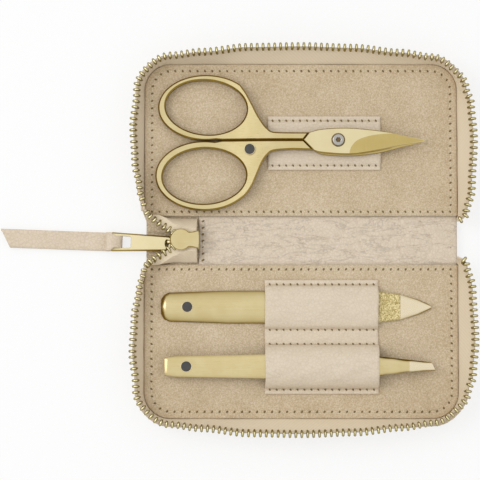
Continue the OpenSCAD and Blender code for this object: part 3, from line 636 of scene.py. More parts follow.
def tooth_pattern():
    """One zip tooth: a rounded bead on two legs clamped over the tape."""
    bm = bmesh.new()
    bmesh.ops.create_cube(bm, size=1)
    for v in bm.verts:
        taper = 0.8 if v.co.y < 0 else 1
        v.co = Vector((v.co.x * 2.2 * (0.9 if v.co.y < 0 else 1), (v.co.y - 0.5) * 2.3 + 0.3,
                       v.co.z * 0.95 * taper))
    bmesh.ops.bevel(bm, geom=bm.edges[:], offset=0.26, segments=1, profile=0.5, affect="EDGES",
                    material=-1)
    bead = bmesh.ops.create_uvsphere(bm, u_segments=10, v_segments=6, radius=1)["verts"]
    bmesh.ops.transform(bm, matrix=Matrix.Translation((0, -0.05, 0)) @ Matrix.Diagonal((1.22, 0.7, 0.52, 1)),
                        verts=bead)
    return pattern_mesh(bm, "tooth_pattern")


def tooth_row(frames, side, last_size=1.0):
    """A tooth at each frame, the last one larger where it stands for the stop."""
    bm = bmesh.new()
    flip = Matrix.Diagonal((1, side, 1, 1))
    for i, frame_here in enumerate(frames):
        size = last_size if i == len(frames) - 1 else 1
        add_copy(bm, TOOTH, flip @ standing(*frame_here) @ Matrix.Diagonal((size, size, size, 1)))
    if side < 0:
        bmesh.ops.reverse_faces(bm, faces=bm.faces)
    return bm


def zip_teeth(name, side):
    """One cover's chain of teeth, with the stop at its right end."""
    first = TOOTH_PITCH / 4 + (TOOTH_PITCH / 2 if side > 0 else 0)
    count = int((CHAIN_LEN + HOOK - first - 0.6) / TOOTH_PITCH) + 1
    bm = tooth_row([chain_frame(first + i * TOOTH_PITCH) for i in range(count)], side, 1.12)
    finished(bm, name + "_metal_teeth", ZIP_GOLD, body=name + "_cover",
             replaces=[name + "_zip_teeth", name + "_zip_stop"], sharp=50)


def seam_path(side):
    """The line of stitches round a lining panel, as points in mm."""
    left, right, far, near = -PANEL_HALF + 2.6, PANEL_HALF - 2.3, COVER_Y1 - 2.3, COVER_Y0 + 1.6
    r = CORNER_R - 2.3
    points = [(left, near), (left, far - r)]
    points += oval(left + r, far - r, r, r, 9, 180, 90)[1:]
    points += oval(right - r, far - r, r, r, 9, 90, 0)
    points += [(right, near), (left, near)]
    return [Vector((x, y * side, 0)) for x, y in points]


def spaced(points, pitch):
    """Points about a pitch apart along a line, with the line's direction at each."""
    lengths = [(b - a).length for a, b in zip(points, points[1:])]
    count = max(1, round(sum(lengths) / pitch))
    out = []
    for i in range(count + 1):
        left = sum(lengths) * i / count
        k = 0
        while k < len(lengths) - 1 and left > lengths[k]:
            left -= lengths[k]
            k += 1
        a, b = points[k], points[k + 1]
        out.append((a.lerp(b, min(1, left / max(lengths[k], 1e-6))), (b - a).normalized()))
    return out


def panel_rows():
    """Places of a panel's rows of vertices, closer round the far corners."""
    straight = COVER_Y1 - CORNER_R
    n = int((straight - COVER_Y0) / 0.6)
    return ([mix(COVER_Y0, straight, i / n) for i in range(n + 1)]
            + [straight + CORNER_R * math.sin(math.radians(90 * i / 22)) for i in range(1, 23)])


def suede_panel(name, side):
    """A cover's suede panel, gently uneven, puckered along its border of stitches."""
    rows = panel_rows()
    seam = [p.xy for p, _ in spaced(seam_path(1), 0.5)]
    holes = [p.xy for p, _ in spaced(seam_path(1), STITCH)]

    def place(u, v):
        y = rows[round(v * (len(rows) - 1))]
        over = max(0, y - (COVER_Y1 - CORNER_R))
        half = PANEL_HALF - CORNER_R + math.sqrt(max(0, CORNER_R ** 2 - over ** 2))
        x = mix(-half, half, u)
        z = PANEL_Z + 0.1 * waver(x * 0.11, y * 0.11, side * 4)
        edge = min(half - abs(x), y - COVER_Y0, COVER_Y1 - y)
        if edge < 5:
            here = Vector((x, y))
            near_seam = min((here - p).length for p in seam)
            z -= 0.16 * math.exp(-(near_seam / 0.55) ** 2)
            if near_seam < 1.6:
                z -= 0.2 * math.exp(-(min((here - p).length for p in holes) / 0.6) ** 2)
        return Vector((x, y, z - 0.25 * max(0, 1 - edge / 0.5) ** 2))
    bm = sheet(178, len(rows) - 1, place, side)
    finished(bm, name + "_suede_panel", SUEDE, body=name + "_cover",
             replaces=[name + "_lining"], thickness=0.7)


def stitched(bm, frames, slant=0.5):
    """Adds thread between neighbouring frames, and at each a dark bead of painted shade for the needle hole,
    in the second material.
    """
    for (a, _, up), (b, _, _) in zip(frames, frames[1:]):
        if (b - a).length > 2 * STITCH:
            continue
        add_copy(bm, THREAD_RUN, standing((a + b) / 2 + up * 0.02, up, b - a)
                 @ Matrix.Diagonal((1, (b - a).length * 0.4, 1, 1)))
    turn = Matrix.Rotation(slant, 4, "Z")
    for at, along, up in frames:
        add_copy(bm, NEEDLE_HOLE_SHADE, standing(at - up * 0.02, up, along) @ turn, 1)


def bead_pattern(name, rings, size):
    """A bead of a few dozen faces: a length of thread, or the painted shade of a needle hole."""
    bm = bmesh.new()
    bmesh.ops.create_uvsphere(bm, u_segments=8, v_segments=rings, radius=1)
    bmesh.ops.scale(bm, vec=size, verts=bm.verts)
    return pattern_mesh(bm, name)


TOOTH = tooth_pattern()
THREAD_RUN = bead_pattern("thread_pattern", 5, (0.2, 1, 0.16))
NEEDLE_HOLE_SHADE = bead_pattern("hole_pattern", 4, (0.56, 0.33, 0.14))
UP = Vector((0, 0, 1))


def level_frames(points, pitch, height):
    """Frames of a row of stitches that lies level."""
    return [(p + UP * height, d, UP) for p, d in spaced(points, pitch)]


def panel_stitches(name, side):
    """The stitches round a panel, and those outside that hold the tape to the leather band."""
    bm = bmesh.new()
    stitched(bm, level_frames(seam_path(side), STITCH, PANEL_Z - 0.2), 0.45 * side)
    frames, out_here, flip = [], BAND_OUT + 0.13, Vector((1, side, 1))
    for i in range(4, int(CHAIN_LEN / STITCH)):
        run = (i + 0.5) * STITCH
        at = hooked(run, out_here, BAND_H - 1.2)
        above = hooked(run, out_here, BAND_H - 0.2)
        ahead = hooked(run + 0.3, out_here, BAND_H - 1.2)
        out = (above - at).cross(ahead - at).normalized()
        frames.append((at * flip, (ahead - at) * flip, out * flip))
    stitched(bm, frames, 0.3)
    finished(bm, name + "_border_stitches", [THREAD, HOLE_SHADE], body=name + "_cover")


for cover, way in SIDES:
    outer_leather(cover, way)
    gusset_band(cover, way)
    zip_tape(cover, way)
    zip_teeth(cover, way)
    suede_panel(cover, way)
    panel_stitches(cover, way)
    recoat(cover + "_board", BOARD)


# ---------------------------------------------------------------- the spine
def spine_inside(name, side):
    """Half of the leather inside the spine: crumpled, and tucked under the lining at the fold."""
    x0, x1 = TAB_X, SPINE_X1 + 0.2

    def place(u, v):
        x, y = mix(x0, x1, u), mix(-0.5, 9.0, v)
        crumple = -0.1 * smooth(-y / 0.3)
        for size, height in ((0.16, 0.42), (0.42, 0.2)):
            ridge = abs(waver((x * 0.42 + y * side) * size, (x - 0.4 * y * side) * size * 0.55, 2.0))
            crumple -= height * (1 - min(1, ridge * 6)) ** 2
        rise = 0.28 * math.sin(math.pi * min(1, (x - x0) / 3) / 2) + 0.12 * math.sin(math.pi * abs(y) / 9)
        tuck = smooth((y - 6.9) / 1.5)
        end = 0.35 * max(0, 1 - (x1 - x) / 0.8) ** 2 + 0.2 * max(0, 1 - (x - x0) / 0.5) ** 2
        return Vector((x, y, mix(2.15 + rise + crumple, 2.12, tuck) - end))
    bm = sheet(230, 26, place, side)
    finished(bm, name + "_spine_leather", CALF_INSIDE, blend=fold_blend(side),
             replaces=["spine_lining"] if side > 0 else (), thickness=0.75)


def spine_end(name, side):
    """Half of the bare leather under the slider, left of the stitched tab, with its creases, in a darker
    copy of the calf that paints the shade there.
    """
    def place(u, v):
        x, y = mix(SPINE_X0, TAB_X + 1.5, u), mix(-0.3, 8.6, v)
        crease = 0.22 * waver(x * 0.35, y * side * 0.5, 9)
        return Vector((x, y, 1.42 + crease + 0.35 * smooth((y - 4) / 4) * smooth((TAB_X - x) / 4)))
    bm = sheet(60, 22, place, side)
    finished(bm, name + "_spine_end_leather", SHADED_CALF_END, blend=fold_blend(side),
             thickness=0.25)


def spine_stitches():
    """A row across each end of the leather inside the spine."""
    bm = bmesh.new()
    for x, reach, height in ((TAB_X + 1.5, 6.7, 2.36), (SPINE_X1 - 2.0, 6.9, 2.3)):
        row = [Vector((x, y, 0)) for y in (-reach, reach)]
        stitched(bm, level_frames(row, 2.3, height))
    finished(bm, "spine_stitches", [THREAD, HOLE_SHADE], body="spine")


def leg_blend(side):
    """The zip's open legs bend from the slider on the spine to a cover's wall."""
    mouth, end = LEG_MOUTH, LEG_END
    if side > 0:
        return "spine", "upper_cover", mouth, end
    flip = Vector((1, -1, 1))
    return "lower_cover", "spine", end * flip, mouth * flip


def leg_tape(name, side):
    """The tape of one open leg, twisting from flat in the slider to upright at the wall."""
    def place(u, v):
        up = leg_up(u)
        edge = leg_point(u) - up * 0.7
        bend = edge - up * 3.1
        foot = Vector((mix(SLIDER_X1 - 0.6, SPINE_X0 + 0.3, u), mix(FOLD_Y - 0.7, FOLD_Y - 1.0, u), 1.75))
        if v < 0.5:
            point = edge.lerp(bend, v * 2)
        else:
            point = bend.lerp(foot, smooth(v * 2 - 1) * 0.35 + (v * 2 - 1) * 0.65)
        pleat = 0.55 * waver(u * 7, v * 2.5, side) + 0.25 * waver(u * 18, v * 5, side)
        return point + Vector((0, 0, pleat * smooth((v - 0.15) * 2) * (1 - v * 0.5)))
    bm = sheet(90, 24, place, side)
    scale_uvs(bm, 26, 8)
    finished(bm, name + "_open_tape", TAPE, blend=leg_blend(side),
             replaces=["spine_zip_tape"] if side > 0 else (), thickness=0.42)


def leg_teeth(name, side):
    """The teeth of one open leg, from the slider's mouth to the wall."""
    bm = tooth_row([leg_frame(f) for f in (0.39, 0.475, 0.56, 0.65, 0.74, 0.83, 0.92)], side)
    finished(bm, name + "_open_teeth", ZIP_GOLD, blend=leg_blend(side),
             replaces=["spine_zip_teeth"] if side > 0 else (), sharp=50)


for cover, way in SIDES:
    spine_inside(cover, way)
    spine_end(cover, way)
    leg_tape(cover, way)
    leg_teeth(cover, way)
spine_stitches()


# ---------------------------------------------------------------- loops that hold the tools
LOOP_T = 0.9
HEM, TUNNEL, BRIDGE = 1.9, 14.8, 5.6


def hump(f, fullness):
    """0 to 1 and back over f from 0 to 1, rounder as fullness is smaller."""
    return math.sin(math.pi * min(1, max(0, f))) ** fullness


def sewn_patch(name, body, x0, x1, start, side, tunnels, width, node, fullness=0.42):
    """A leather patch sewn down in rows, raised between each pair of rows into a tunnel."""
    seams = [d for t in tunnels for d in t[:2]]
    rows = 150

    def top(x, d):
        z = PANEL_Z + 0.05 + LOOP_T
        for a, b, height in tunnels:
            if a < d < b:
                lift = height * hump((d - a) / (b - a), fullness)
                z += lift * (1 + 0.02 * math.sin(x * 0.5 + d))
        near_seam = min(abs(d - s) for s in seams)
        z -= 0.3 * math.exp(-(near_seam / 0.5) ** 2)
        pucker = math.sin((x - x0) / 2.35 * 2 * math.pi)
        z += 0.05 * pucker * math.exp(-(near_seam / 1.6) ** 2)
        z += 0.07 * waver(x * 0.3, d * 0.12, start)
        edge = min(x - x0, x1 - x, d, width - d)
        return z - 0.35 * max(0, 1 - edge / 0.6) ** 2

    def place(u, v):
        x, d = mix(x0, x1, u), v * width
        sway = 0.25 * waver(d * 0.15, u * 3, start + 5)
        return Vector((x + sway, (start + d), top(x, d)))
    bm = sheet(80, rows, place, side)
    finished(bm, name, CALF_LOOP, body=body, replaces=[node], thickness=LOOP_T - 0.1,
             rim=0.12)
    bm = bmesh.new()
    for a, b, _ in tunnels:
        for row in (a - 0.45, b + 0.45):
            line = [Vector((x, side * (start + row), 0)) for x in (x0 + 1.6, x1 - 1.6)]
            stitched(bm, [(p + UP * (top(p.x, row) + 0.04), d, UP) for p, d in spaced(line, 2.35)])
    finished(bm, name + "_stitches", [THREAD, HOLE_SHADE], body=body)


sewn_patch("tool_patch", "lower_cover", -12.35, 26.35, 13.6, -1,
           [(HEM, HEM + TUNNEL, 2.9), (HEM + TUNNEL + BRIDGE, HEM + 2 * TUNNEL + BRIDGE, 6.0)],
           2 * HEM + 2 * TUNNEL + BRIDGE, "tool_loops")
sewn_patch("scissors_patch", "upper_cover", -11.35, 27.35, 24.2, 1, [(HEM, HEM + TUNNEL, 0.4)],
           2 * HEM + TUNNEL, "scissors_loop", 0.8)


# ---------------------------------------------------------------- nail scissors
SCREW = Vector((12.7, 34.1))
RING_Z = 3.22          # underside of the rings, which lie lower than the shanks
SHANK_Z, SHANK_T = 4.66, 3.2
SPLIT_Z = SHANK_Z + SHANK_T / 2


LINE_Y, HALF_GAP = 34.2, 0.06         # the line where the halves' shanks meet, and their half gap
TIP = (42.4, 34.0)
# The webs' edges between ring and shank
UPPER_WEB = [(-20.2, 52.6), (-18.6, 50.2), (-16.9, 47.0), (-15.0, 43.2), (-13.1, 40.1), (-11.4, 38.1),
             (-9.3, 37.0), (-3.0, 36.8)]
LOWER_WEB = [(-3.0, 30.9), (-9.3, 30.4), (-11.5, 29.0), (-13.3, 26.4), (-15.2, 22.0), (-16.8, 18.4),
             (-18.9, 15.4)]


def ring_and_shank(name, body, node, outline, opening):
    """A ring with its shank, eased down from the shank's height to the ring's."""
    bm = slab(outline, SHANK_Z, SHANK_T, 0.5, [("x", -30 + 1.6 * i) for i in range(15)], [opening], 1)
    for v in bm.verts:
        v.co.z -= (SHANK_Z - RING_Z) * (1 - smooth((v.co.x + 30) / 22))
    finished(bm, name, BRUSHED_GOLD, body=body, replaces=[node], sharp=28)


def blade_piece(name, body, material, sharp, outline, z, thickness, rounding, level, bend):
    """A plate of a blade, its height drawn to a level by a share towards the tip."""
    bm = slab(outline, z, thickness, rounding, [("x", x) for x in range(15, 42, 2)], steps=1)
    for v in bm.verts:
        v.co.z = mix(v.co.z, level, bend * smooth((v.co.x - 20) / 24))
    finished(bm, name, material, body=body, sharp=sharp)


def scissors():
    """Under half: the upper ring and the under blade. Top half: the lower ring and the top blade."""
    upper = oval(-32.6, 45.5, 16.4, 11.3, 100, 44, 282)
    outline = (upper + [(-27.0, LINE_Y + HALF_GAP), (0.86, LINE_Y + HALF_GAP), (2.87, 36.8)]
               + smooth_line(UPPER_WEB[::-1] + [upper[0]])[:-1])
    ring_and_shank("upper_ring_and_shank", "scissors_under", "scissors_under_half", outline,
                   tilted(oval(-32.5, 45.55, 13.95, 9.35, 100), -5))
    lower = oval(-33.1, 22.0, 16.8, 11.95, 100, 78, 316)
    outline = (lower + smooth_line([lower[-1]] + LOWER_WEB[::-1])[1:]
               + [(4.3, 30.7), (0.86, LINE_Y - HALF_GAP), (-27.0, LINE_Y - HALF_GAP)])
    ring_and_shank("lower_ring_and_shank", "scissors_top", "scissors_top_half", outline,
                   tilted(oval(-33.1, 21.9, 14.3, 9.55, 100), 2))
    far = smooth_line([(2.87, 36.8), (7.5, 37.9), (17.1, 38.2), (29.1, 37.0), (35.9, 35.5), (42.0, 34.35)])
    near = smooth_line([(42.0, 33.65), (33.9, 32.4), (26.7, 30.7), (17.1, 29.3), (7.5, 29.8), (4.45, 30.5)])
    blade_piece("top_blade", "scissors_top", SATIN_GOLD, 20, far + [TIP] + near + [(0.86, LINE_Y)],
                SPLIT_Z + 0.02, SHANK_T / 2 + 0.1, 0.24, SPLIT_Z + 0.1, 0.62)
    grind = smooth_line([(16.5, 29.55), (16.8, 30.9), (17.6, 32.4), (19.4, 34.1), (22.9, 35.4), (27.0, 36.1),
                         (31.5, 36.3), (36.0, 35.3), (41.8, 34.2)], 5)
    edge = smooth_line([(41.8, 33.8), (33.9, 32.6), (26.7, 30.95), (19.0, 29.6)], 5)
    blade_piece("ground_facet", "scissors_top", GROUND_GOLD, 35, grind + [(42.1, 34.0)] + edge,
                SHANK_Z + SHANK_T, 0.14, 0, SPLIT_Z + 0.1, 0.62)
    far = smooth_line([(4.2, 36.6), (7.5, 37.4), (17.1, 37.5), (29.1, 36.3), (35.9, 34.9), (41.6, 33.9)])
    near = smooth_line([(41.2, 33.4), (33.9, 31.7), (26.7, 29.9), (17.1, 28.8), (7.5, 29.3), (4.6, 30.6)])
    tongue = [(3.6, 32.2), (2.9, LINE_Y + 0.12), (-2.0, LINE_Y + 0.12), (-2.0, 36.5)]
    blade_piece("under_blade", "scissors_under", GROUND_GOLD, 35, far + near + tongue,
                SHANK_Z, SHANK_T / 2 - 0.04, 0.08, SPLIT_Z - 0.1, 0.6)


def scissors_screw():
    """A turned screw with a domed rim and a hexagon socket, with dark discs of painted shade in the socket's
    floor and in the groove round it.
    """
    base = SHANK_Z + SHANK_T - 0.05
    bm = slab(oval(*SCREW, 1.95, 1.95, 48), base, 1.0, 0.28, holes=[oval(*SCREW, 0.85, 0.85, 6)])
    # Painted shade: discs in the dark needle-hole colour under the socket and round the head.
    for name, radius, count, height in (("socket_floor_shade", 1.2, 24, 0.35), ("screw_groove_shade", 2.35, 48, 0.42)):
        add_copy(bm, pattern_mesh(slab(oval(*SCREW, radius, radius, count), base, height), name), material=1)
    finished(bm, "turned_screw", [STEEL, HOLE_SHADE], body="scissors_under", replaces=["scissors_screw"],
             sharp=35)


def enamel_dot(name, body, node, x, y, z):
    """A round enamel inlay in a thin gold rim."""
    bm = slab(oval(x, y, 1.75, 1.75, 40), z - 0.1, 0.32, 0.12, steps=3)
    finished(bm, name, ENAMEL, body=body, replaces=[node], sharp=50)
    bm = slab(oval(x, y, 1.98, 1.98, 40), z - 0.12, 0.24, 0.06, holes=[oval(x, y, 1.72, 1.72, 40)],
              steps=2)
    finished(bm, name + "_rim", SATIN_GOLD, body=body, sharp=50)


scissors()
scissors_screw()
enamel_dot("scissors_dot", "scissors_top", "scissors_mark", SCREW.x - 30.3, SCREW.y - 3.1,
           SHANK_Z + SHANK_T)


# ---------------------------------------------------------------- nail file
FILE_X0, FILE_L, FILE_W, FILE_Y, FILE_Z = -47.9, 92.4, 11.2, -22.9, 3.2
FILE_T, FILE_EDGE_T, GRIT_T = 2.2, 0.9, 1.2
GRIT_START, GRIT_END = 0.6, 0.885      # shares of the file's length
FILE_WIDTH = [(0, 0.4), (0.005, 0.6), (0.013, 0.76), (0.03, 0.88), (0.25, 1), (0.5, 1), (0.81, 0.945),
              (0.88, 0.8), (0.95, 0.46), (0.99, 0.16), (1, 0.05)]


def file_top(f, k):
    """Height of the file's crowned upper side, f along it and k from edge to edge, -1 to 1."""
    crown = mix(FILE_T, GRIT_T, smooth((f - 0.5) / 0.12))
    return FILE_Z + FILE_EDGE_T + (crown - FILE_EDGE_T) * (1 - k * k)


def long_tool(columns, rows, section):
    """A slender closed body: section(f, k, up) is the point f along it and k from edge to edge, -1
    to 1, on its upper or its under side."""
    def place(u, v):
        up = v <= 0.5
        return section(u, math.sin(math.pi * (v * 2 - 0.5 if up else 1.5 - v * 2)), up)
    return sheet(columns, rows, place, wrap=True)


def nail_file():
    """The file's crowned blank with its polished point, and the coat of grit on it."""
    def half(f):
        return along_table(FILE_WIDTH, f) * FILE_W / 2

    def section(f, k, up):
        z = FILE_Z + 0.35 * abs(k) ** 6
        if up:
            butt = 0.9 * max(0, 1 - f / 0.02) ** 2
            z = max(z + 0.02, file_top(f, k) - 0.35 * abs(k) ** 8 - butt)
        return Vector((FILE_X0 + FILE_L * f, FILE_Y - k * half(f), z))
    bm = long_tool(260, 48, section)
    finished(bm, "file_blank", [BRUSHED_GOLD, POLISHED_GOLD], body="file", replaces=["file_body"],
             sharp=40, tip_x=FILE_X0 + FILE_L * GRIT_END)

    def grit(u, v):
        f = mix(GRIT_START, GRIT_END, u)
        k = mix(-1, 1, v)
        return Vector((FILE_X0 + FILE_L * f, FILE_Y + k * (half(f) - 0.12), file_top(f, k) + 0.04))
    bm = sheet(90, 24, grit)
    finished(bm, "grit_coat", GRIT, body="file", replaces=["file_grit"], thickness=0.12)


nail_file()
enamel_dot("file_dot", "file", "file_mark", FILE_X0 + 9, FILE_Y, FILE_Z + FILE_T)


# ---------------------------------------------------------------- tweezers
ARM_X0, ARM_L, ARM_W, ARM_Y, ARM_Z = -46.5, 92.0, 9.0, -43.3, 5.7
ARM_T, ARM_GAP, TIP_GAP, BUTT = 1.1, 2.8, 1.7, 8.5
ARM_WIDTH = [(0, 0.69), (0.04, 0.78), (0.6, 1), (0.72, 0.91), (0.83, 0.58), (0.9, 0.42),
             (0.975, 0.32), (1, 0.31)]


def arm_inner(f):
    """How far an arm's inner side stands from the tweezers' middle, f along it."""
    g = max(0, (f - BUTT / ARM_L) / (1 - BUTT / ARM_L))
    if g < 0.55:
        return 0.02 + ARM_GAP / 2 * smooth(g / 0.55)
    return 0.02 + mix(ARM_GAP / 2, TIP_GAP / 2, smooth((g - 0.55) / 0.45))


def tweezers_arm(name, body, node, way):
    """One sprung arm, thin and slightly crowned, with a polished slanted tip."""
    def half(f):
        return along_table(ARM_WIDTH, f, smooth if f > 0.6 else lambda g: g) * ARM_W / 2

    def section(f, k, outside):
        crown = ARM_T * (0.8 + 0.2 * (1 - k * k)) * (1 - 0.25 * max(0, 1 - f / 0.012) ** 2)
        z = arm_inner(f) + (crown - 0.25 * abs(k) ** 8 if outside else 0.2 * abs(k) ** 8)
        slant = 1.3 * max(0, (f - 0.94) / 0.06) * (1 - k) / 2
        return Vector((ARM_X0 + ARM_L * f - slant, ARM_Y - k * half(f), ARM_Z + way * z))
    bm = long_tool(240, 40, section)
    finished(bm, name, [BRUSHED_GOLD, POLISHED_GOLD], body=body, replaces=[node], sharp=40,
             tip_x=ARM_X0 + ARM_L * 0.905)


tweezers_arm("upper_tweezers_arm", "tweezers_upper", "tweezers_upper_arm", 1)
tweezers_arm("lower_tweezers_arm", "tweezers_lower", "tweezers_lower_arm", -1)
ARM_DOT = 7.3
enamel_dot("tweezers_dot", "tweezers_upper", "tweezers_mark", ARM_X0 + ARM_DOT, ARM_Y,
           ARM_Z + arm_inner(ARM_DOT / ARM_L) + ARM_T)


# ---------------------------------------------------------------- slider, puller and strap
HEAD_X = SLIDER_X0 + 3.5


def mirrored(half):
    """Half an outline with its other half, mirrored in Y."""
    return half + [(x, -y) for x, y in reversed(half)]


def slider_outline():
    """A round head, a waist cut in on each side, and a tail that widens again."""
    head = oval(HEAD_X, 0, 3.7, 3.7, 60, 44, 316)
    waist = [(HEAD_X + 3.4, -2.55), (HEAD_X + 4.4, -2.7), (HEAD_X + 5.4, -2.95), (SLIDER_X1, -3.1)]
    return head + mirrored(smooth_line([head[-1]] + waist, 5)[1:])


def zip_slider():
    """The slider's two plates, the upper one with a raised ridge, its wedge and its turned edges."""
    ridge_y = 1.6
    bm = slab(slider_outline(), SLIDER_TOP, SLIDER_PLATE_T, 0.3,
              [("y", y) for y in (-ridge_y, 0, ridge_y)], steps=1)
    for v in bm.verts:
        if v.co.z > SLIDER_TOP + 0.5:
            v.co.z += 0.14 * max(0, 1 - abs(v.co.y) / ridge_y) * smooth((SLIDER_X1 + 0.2 - v.co.x) / 2)
            v.co.z -= 0.1 * (v.co.y / 3.5) ** 2
    finished(bm, "slider_top_plate", BRUSHED_GOLD, body="slider", replaces=["slider_body"],
             sharp=14)
    bm = slab(slider_outline(), SLIDER_Z0, SLIDER_PLATE_T, 0.2)
    finished(bm, "slider_under_plate", BRUSHED_GOLD, body="slider", sharp=35)
    bm = slab([(SLIDER_X0 + 0.4, 0), (HEAD_X - 1.6, -0.6), (HEAD_X + 0.8, 0), (HEAD_X - 1.6, 0.6)],
              SLIDER_Z0 + 0.6, CHANNEL_H + 0.4)
    for y in (-2.35, 2.35):
        for z in (SLIDER_Z0 + 1.0, SLIDER_TOP - 0.25):
            bmesh.ops.create_cube(bm, size=1, matrix=Matrix.Translation((SLIDER_X1 - 2.2, y, z))
                                  @ Matrix.Diagonal((4.2, 0.5, 0.62, 1)))
    finished(bm, "slider_wedge_and_edges", SATIN_GOLD, body="slider")


def slider_bail():
    """The loop of drawn strip under the slider's nose that the puller's eye hangs in."""
    x0, x1, z0, z1, y = EYE_X - 1.1, EYE_X + 2.3, 1.85, SLIDER_Z0 + 0.2, -0.55
    path = smooth_line([(x1, z1), (x0 + 0.6, z1), (x0 + 0.1, z1 - 0.6), (x0, mix(z0, z1, 0.5)),
                        (x0 + 0.1, z0 + 0.4), (x0 + 0.7, z0), (x1 + 0.4, z0)], 6)

    def place(u, v):
        at, way = along_points(path, u)
        side = Vector((-way.y, way.x))
        a = 2 * math.pi * v
        q = at + side * 0.3 * math.sin(a)
        return Vector((q.x, y + 0.62 * math.cos(a), q.y))
    bm = sheet(60, 16, place, wrap=True)
    finished(bm, "slider_bail_loop", SATIN_GOLD, body="slider", replaces=["slider_bail"])


EYE_X = SLIDER_X0 - 0.2
PULL_AT = Vector((-44.75, -1.1, 2.9))
PULL_TURN, PULL_L, PULL_T, PULL_W, EYE_W, EYE_BAR, STRAP_BAR = 2.1, 21.2, 1.4, 6.6, 5.0, 0.9, 1.4
BAR_X = -PULL_L + EYE_BAR / 2 + STRAP_BAR / 2
ROLL_HOLE = math.hypot(STRAP_BAR, PULL_T) / 2 + 0.06
ROLL_R = ROLL_HOLE + 1.2
ROLL_Z = ROLL_R + 0.02
DIP = math.degrees(math.asin((PULL_AT.z - ROLL_Z) / -BAR_X))
AT_PULLER = Matrix.Translation(PULL_AT) @ Matrix.Rotation(math.radians(-PULL_TURN), 4, "Z")


def puller_plate():
    """A tapered plate with a wide bright bevel, an eye for the bail and a slot for the strap."""
    x0, x1 = -PULL_L + EYE_BAR / 2, EYE_BAR / 2
    corner, steep = 0.7, 1.2
    outline = mirrored([(x1, EYE_W / 2 - corner), (x1 - corner, EYE_W / 2), (x0 + corner, PULL_W / 2),
                        (x0, PULL_W / 2 - corner)])
    eye = oval(-EYE_BAR / 2 - 0.75, 0, 0.68, 1.35, 28)
    slot = mirrored([(BAR_X + 0.7, -2.2), (BAR_X + 6.1, -1.95), (BAR_X + 6.5, -1.6)])
    bm = slab(outline, -PULL_T / 2, PULL_T, holes=[eye, slot])
    level = [e for e in bm.edges if abs(e.verts[0].co.z - e.verts[1].co.z) < 0.01]
    outer = [e for e in level if e.calc_face_angle(0) > steep
             and (min(abs(v.co.y) for v in e.verts) > 2.3 or min(v.co.x for v in e.verts) > x1 - 0.71)]
    bmesh.ops.bevel(bm, geom=outer, offset=0.5, segments=1, affect="EDGES", material=-1, clamp_overlap=True)
    rim = [e for e in bm.edges if e.calc_face_angle(0) > steep]
    bmesh.ops.bevel(bm, geom=rim, offset=0.12, segments=1, affect="EDGES", material=-1, clamp_overlap=True)
    bmesh.ops.transform(bm, matrix=AT_PULLER @ Matrix.Rotation(math.radians(-DIP), 4, "Y"), verts=bm.verts)
    finished(bm, "puller_tag", SATIN_GOLD, body="puller", replaces=["puller_plate"], sharp=18)


def puller_strap():
    """A strip of the same leather rolled round the puller's bar and folded flat, its end slanted."""
    tail, width, cut = 34.0, 6.3, math.tan(math.radians(28))
    roll = [(math.cos(math.radians(a)) * ROLL_R * (1.6 if a < 90 else 1), math.sin(math.radians(a)) * ROLL_R)
            for a in range(-90, 181, 10)]
    top = [(-ROLL_R - 0.35, -0.75), (-ROLL_R - 1.6, -ROLL_R + 1.85)]
    side_line = [(-tail - 1, -ROLL_R)] + roll + top + [(-tail - 1, -ROLL_R + 1.8)]
    dense = []
    for (ax, az), (bx, bz) in zip(side_line, side_line[1:]):
        n = max(1, int(math.hypot(bx - ax, bz - az) / 0.7))
        dense += [(mix(ax, bx, i / n), mix(az, bz, i / n)) for i in range(n)]
    dense.append(side_line[-1])

    def place(u, v):
        x, z = along_points(dense, u)[0]
        f = v - 0.5
        narrow = 1 - 0.32 * smooth((x + 0.5) / 1.4)
        y = f * width * narrow
        if x < -4:
            share = (-4 - x) / (tail - 3)
            x -= share * (v * width * cut)
            z += share * (0.5 * math.sin(v * 2.5) if z > -ROLL_R + 0.5 else 0)
        z += 0.1 * waver(x * 0.25, y * 0.3, 2) * (z > -ROLL_R + 0.5)
        z -= 0.25 * max(0, (abs(f) - 0.42) / 0.08) ** 2 * (z > -ROLL_R + 0.5)
        return Vector((x, y, z))
    bm = sheet(len(dense) * 2, 18, place)
    bmesh.ops.recalc_face_normals(bm, faces=bm.faces)
    at_bar = AT_PULLER @ Matrix.Translation((BAR_X, 0, ROLL_Z - PULL_AT.z))
    bmesh.ops.transform(bm, matrix=at_bar, verts=bm.verts)
    finished(bm, "pull_strap", CALF, body="strap", replaces=["puller_strap"],
             thickness=0.85, rim=0.2)


zip_slider()
slider_bail()
puller_plate()
puller_strap()
recoat("zip_bottom_stop", ZIP_GOLD)


# ---------------------------------------------------------------- floor, light and camera
def direct_rays(tree):
    """1 for the rays of the camera, of metal and of glass, and 0 for all the rest."""
    path = add(tree, "LightPath").outputs
    seen = add(tree, "Math", {"operation": "MAXIMUM"}, {0: path["Is Camera Ray"], 1: path["Is Glossy Ray"]})
    return add(tree, "Math", {"operation": "MAXIMUM"}, {0: seen, 1: path["Is Transmission Ray"]})


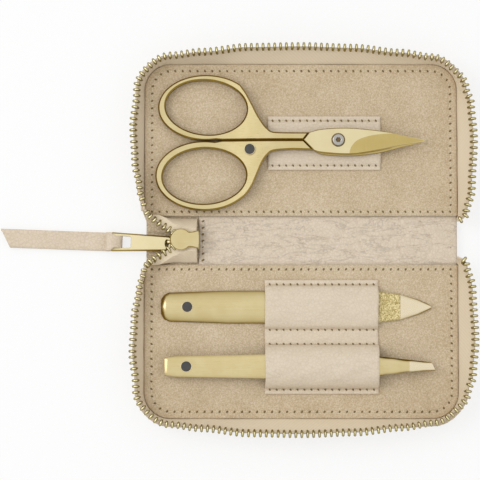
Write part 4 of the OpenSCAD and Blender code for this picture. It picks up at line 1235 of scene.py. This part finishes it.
def pale_floor():
    """A matt white table that glows as much as the camera needs to see it white, shadows kept."""
    material = bpy.data.materials.new("pale_table")
    material.use_nodes = True
    tree = material.node_tree
    tree.nodes.clear()
    share = add(tree, "Math", {"operation": "MULTIPLY", 1: 0.72}, {0: direct_rays(tree)})
    matt = add(tree, "BsdfDiffuse", {"Color": (0.9, 0.9, 0.9, 1)})
    glow = add(tree, "Emission", {"Color": (1, 1, 1, 1), "Strength": 1.0})
    both = add(tree, "MixShader", {}, {0: share, 1: matt, 2: glow})
    add(tree, "OutputMaterial", {}, {"Surface": both})
    bm = bmesh.new()
    bmesh.ops.create_grid(bm, x_segments=1, y_segments=1, size=3,
                          matrix=Matrix.Translation((0, 0, -0.0002)))
    mesh = bpy.data.meshes.new("table_top")
    bm.to_mesh(mesh)
    bm.free()
    mesh.materials.append(material)
    table = bpy.data.objects.new("table_top", mesh)
    bpy.context.scene.collection.objects.link(table)


def soft_room():
    """White where the camera, metal and glass look, and a soft overhead light on all the rest."""
    world = bpy.data.worlds.new("soft_room")
    bpy.context.scene.world = world
    world.use_nodes = True
    tree = world.node_tree
    shader = tree.nodes["Background"]
    shader.inputs["Color"].default_value = (1, 1, 1, 1)
    way = add(tree, "TexCoord").outputs["Generated"]
    high = add(tree, "VectorMath", {"operation": "DOT_PRODUCT", 1: (0, 0.1, 0.995)}, {0: way})
    rise = add(tree, "MapRange", {"From Min": -0.2, "From Max": 0.9, "To Min": 0.5, "To Max": 0.98},
               {"Value": high.outputs["Value"]})
    level = add(tree, "Mix", {"data_type": "FLOAT", 3: 1.0}, {0: direct_rays(tree), 2: rise})
    join(tree, shader, {"Strength": level})


def softbox(name, place, target, size, power):
    """A rectangular studio lamp that faces a point."""
    light = bpy.data.lights.new(name, "AREA")
    light.shape = "RECTANGLE"
    light.size, light.size_y = size[0] * MM, size[1] * MM
    light.energy = power
    lamp = bpy.data.objects.new(name, light)
    lamp.location = Vector(place) * MM
    lamp.rotation_euler = (Vector(target) - Vector(place)).to_track_quat("-Z", "Y").to_euler()
    bpy.context.scene.collection.objects.link(lamp)


pale_floor()
soft_room()
softbox("key_box", (-580, 160, 740), (0, 0, 0), (500, 500), 2.0)

VIEW_TILT, VIEW_DISTANCE = 5, 900      # degrees from straight down, and mm from the aim
lens = bpy.data.cameras.new("camera")
lens.lens = 197.4
lens.clip_start, lens.clip_end = 0.05, 20
camera = bpy.data.objects.new("camera", lens)
aim = Vector((-20.9, 0.0, 5))
rise = math.radians(90 - VIEW_TILT)
away = Vector((0, -math.cos(rise), math.sin(rise))) * VIEW_DISTANCE
camera.location = (aim + away) * MM
camera.rotation_euler = (math.radians(VIEW_TILT), 0, 0)
bpy.context.scene.collection.objects.link(camera)
bpy.context.scene.camera = camera
bpy.context.scene.view_settings.view_transform = "Standard"
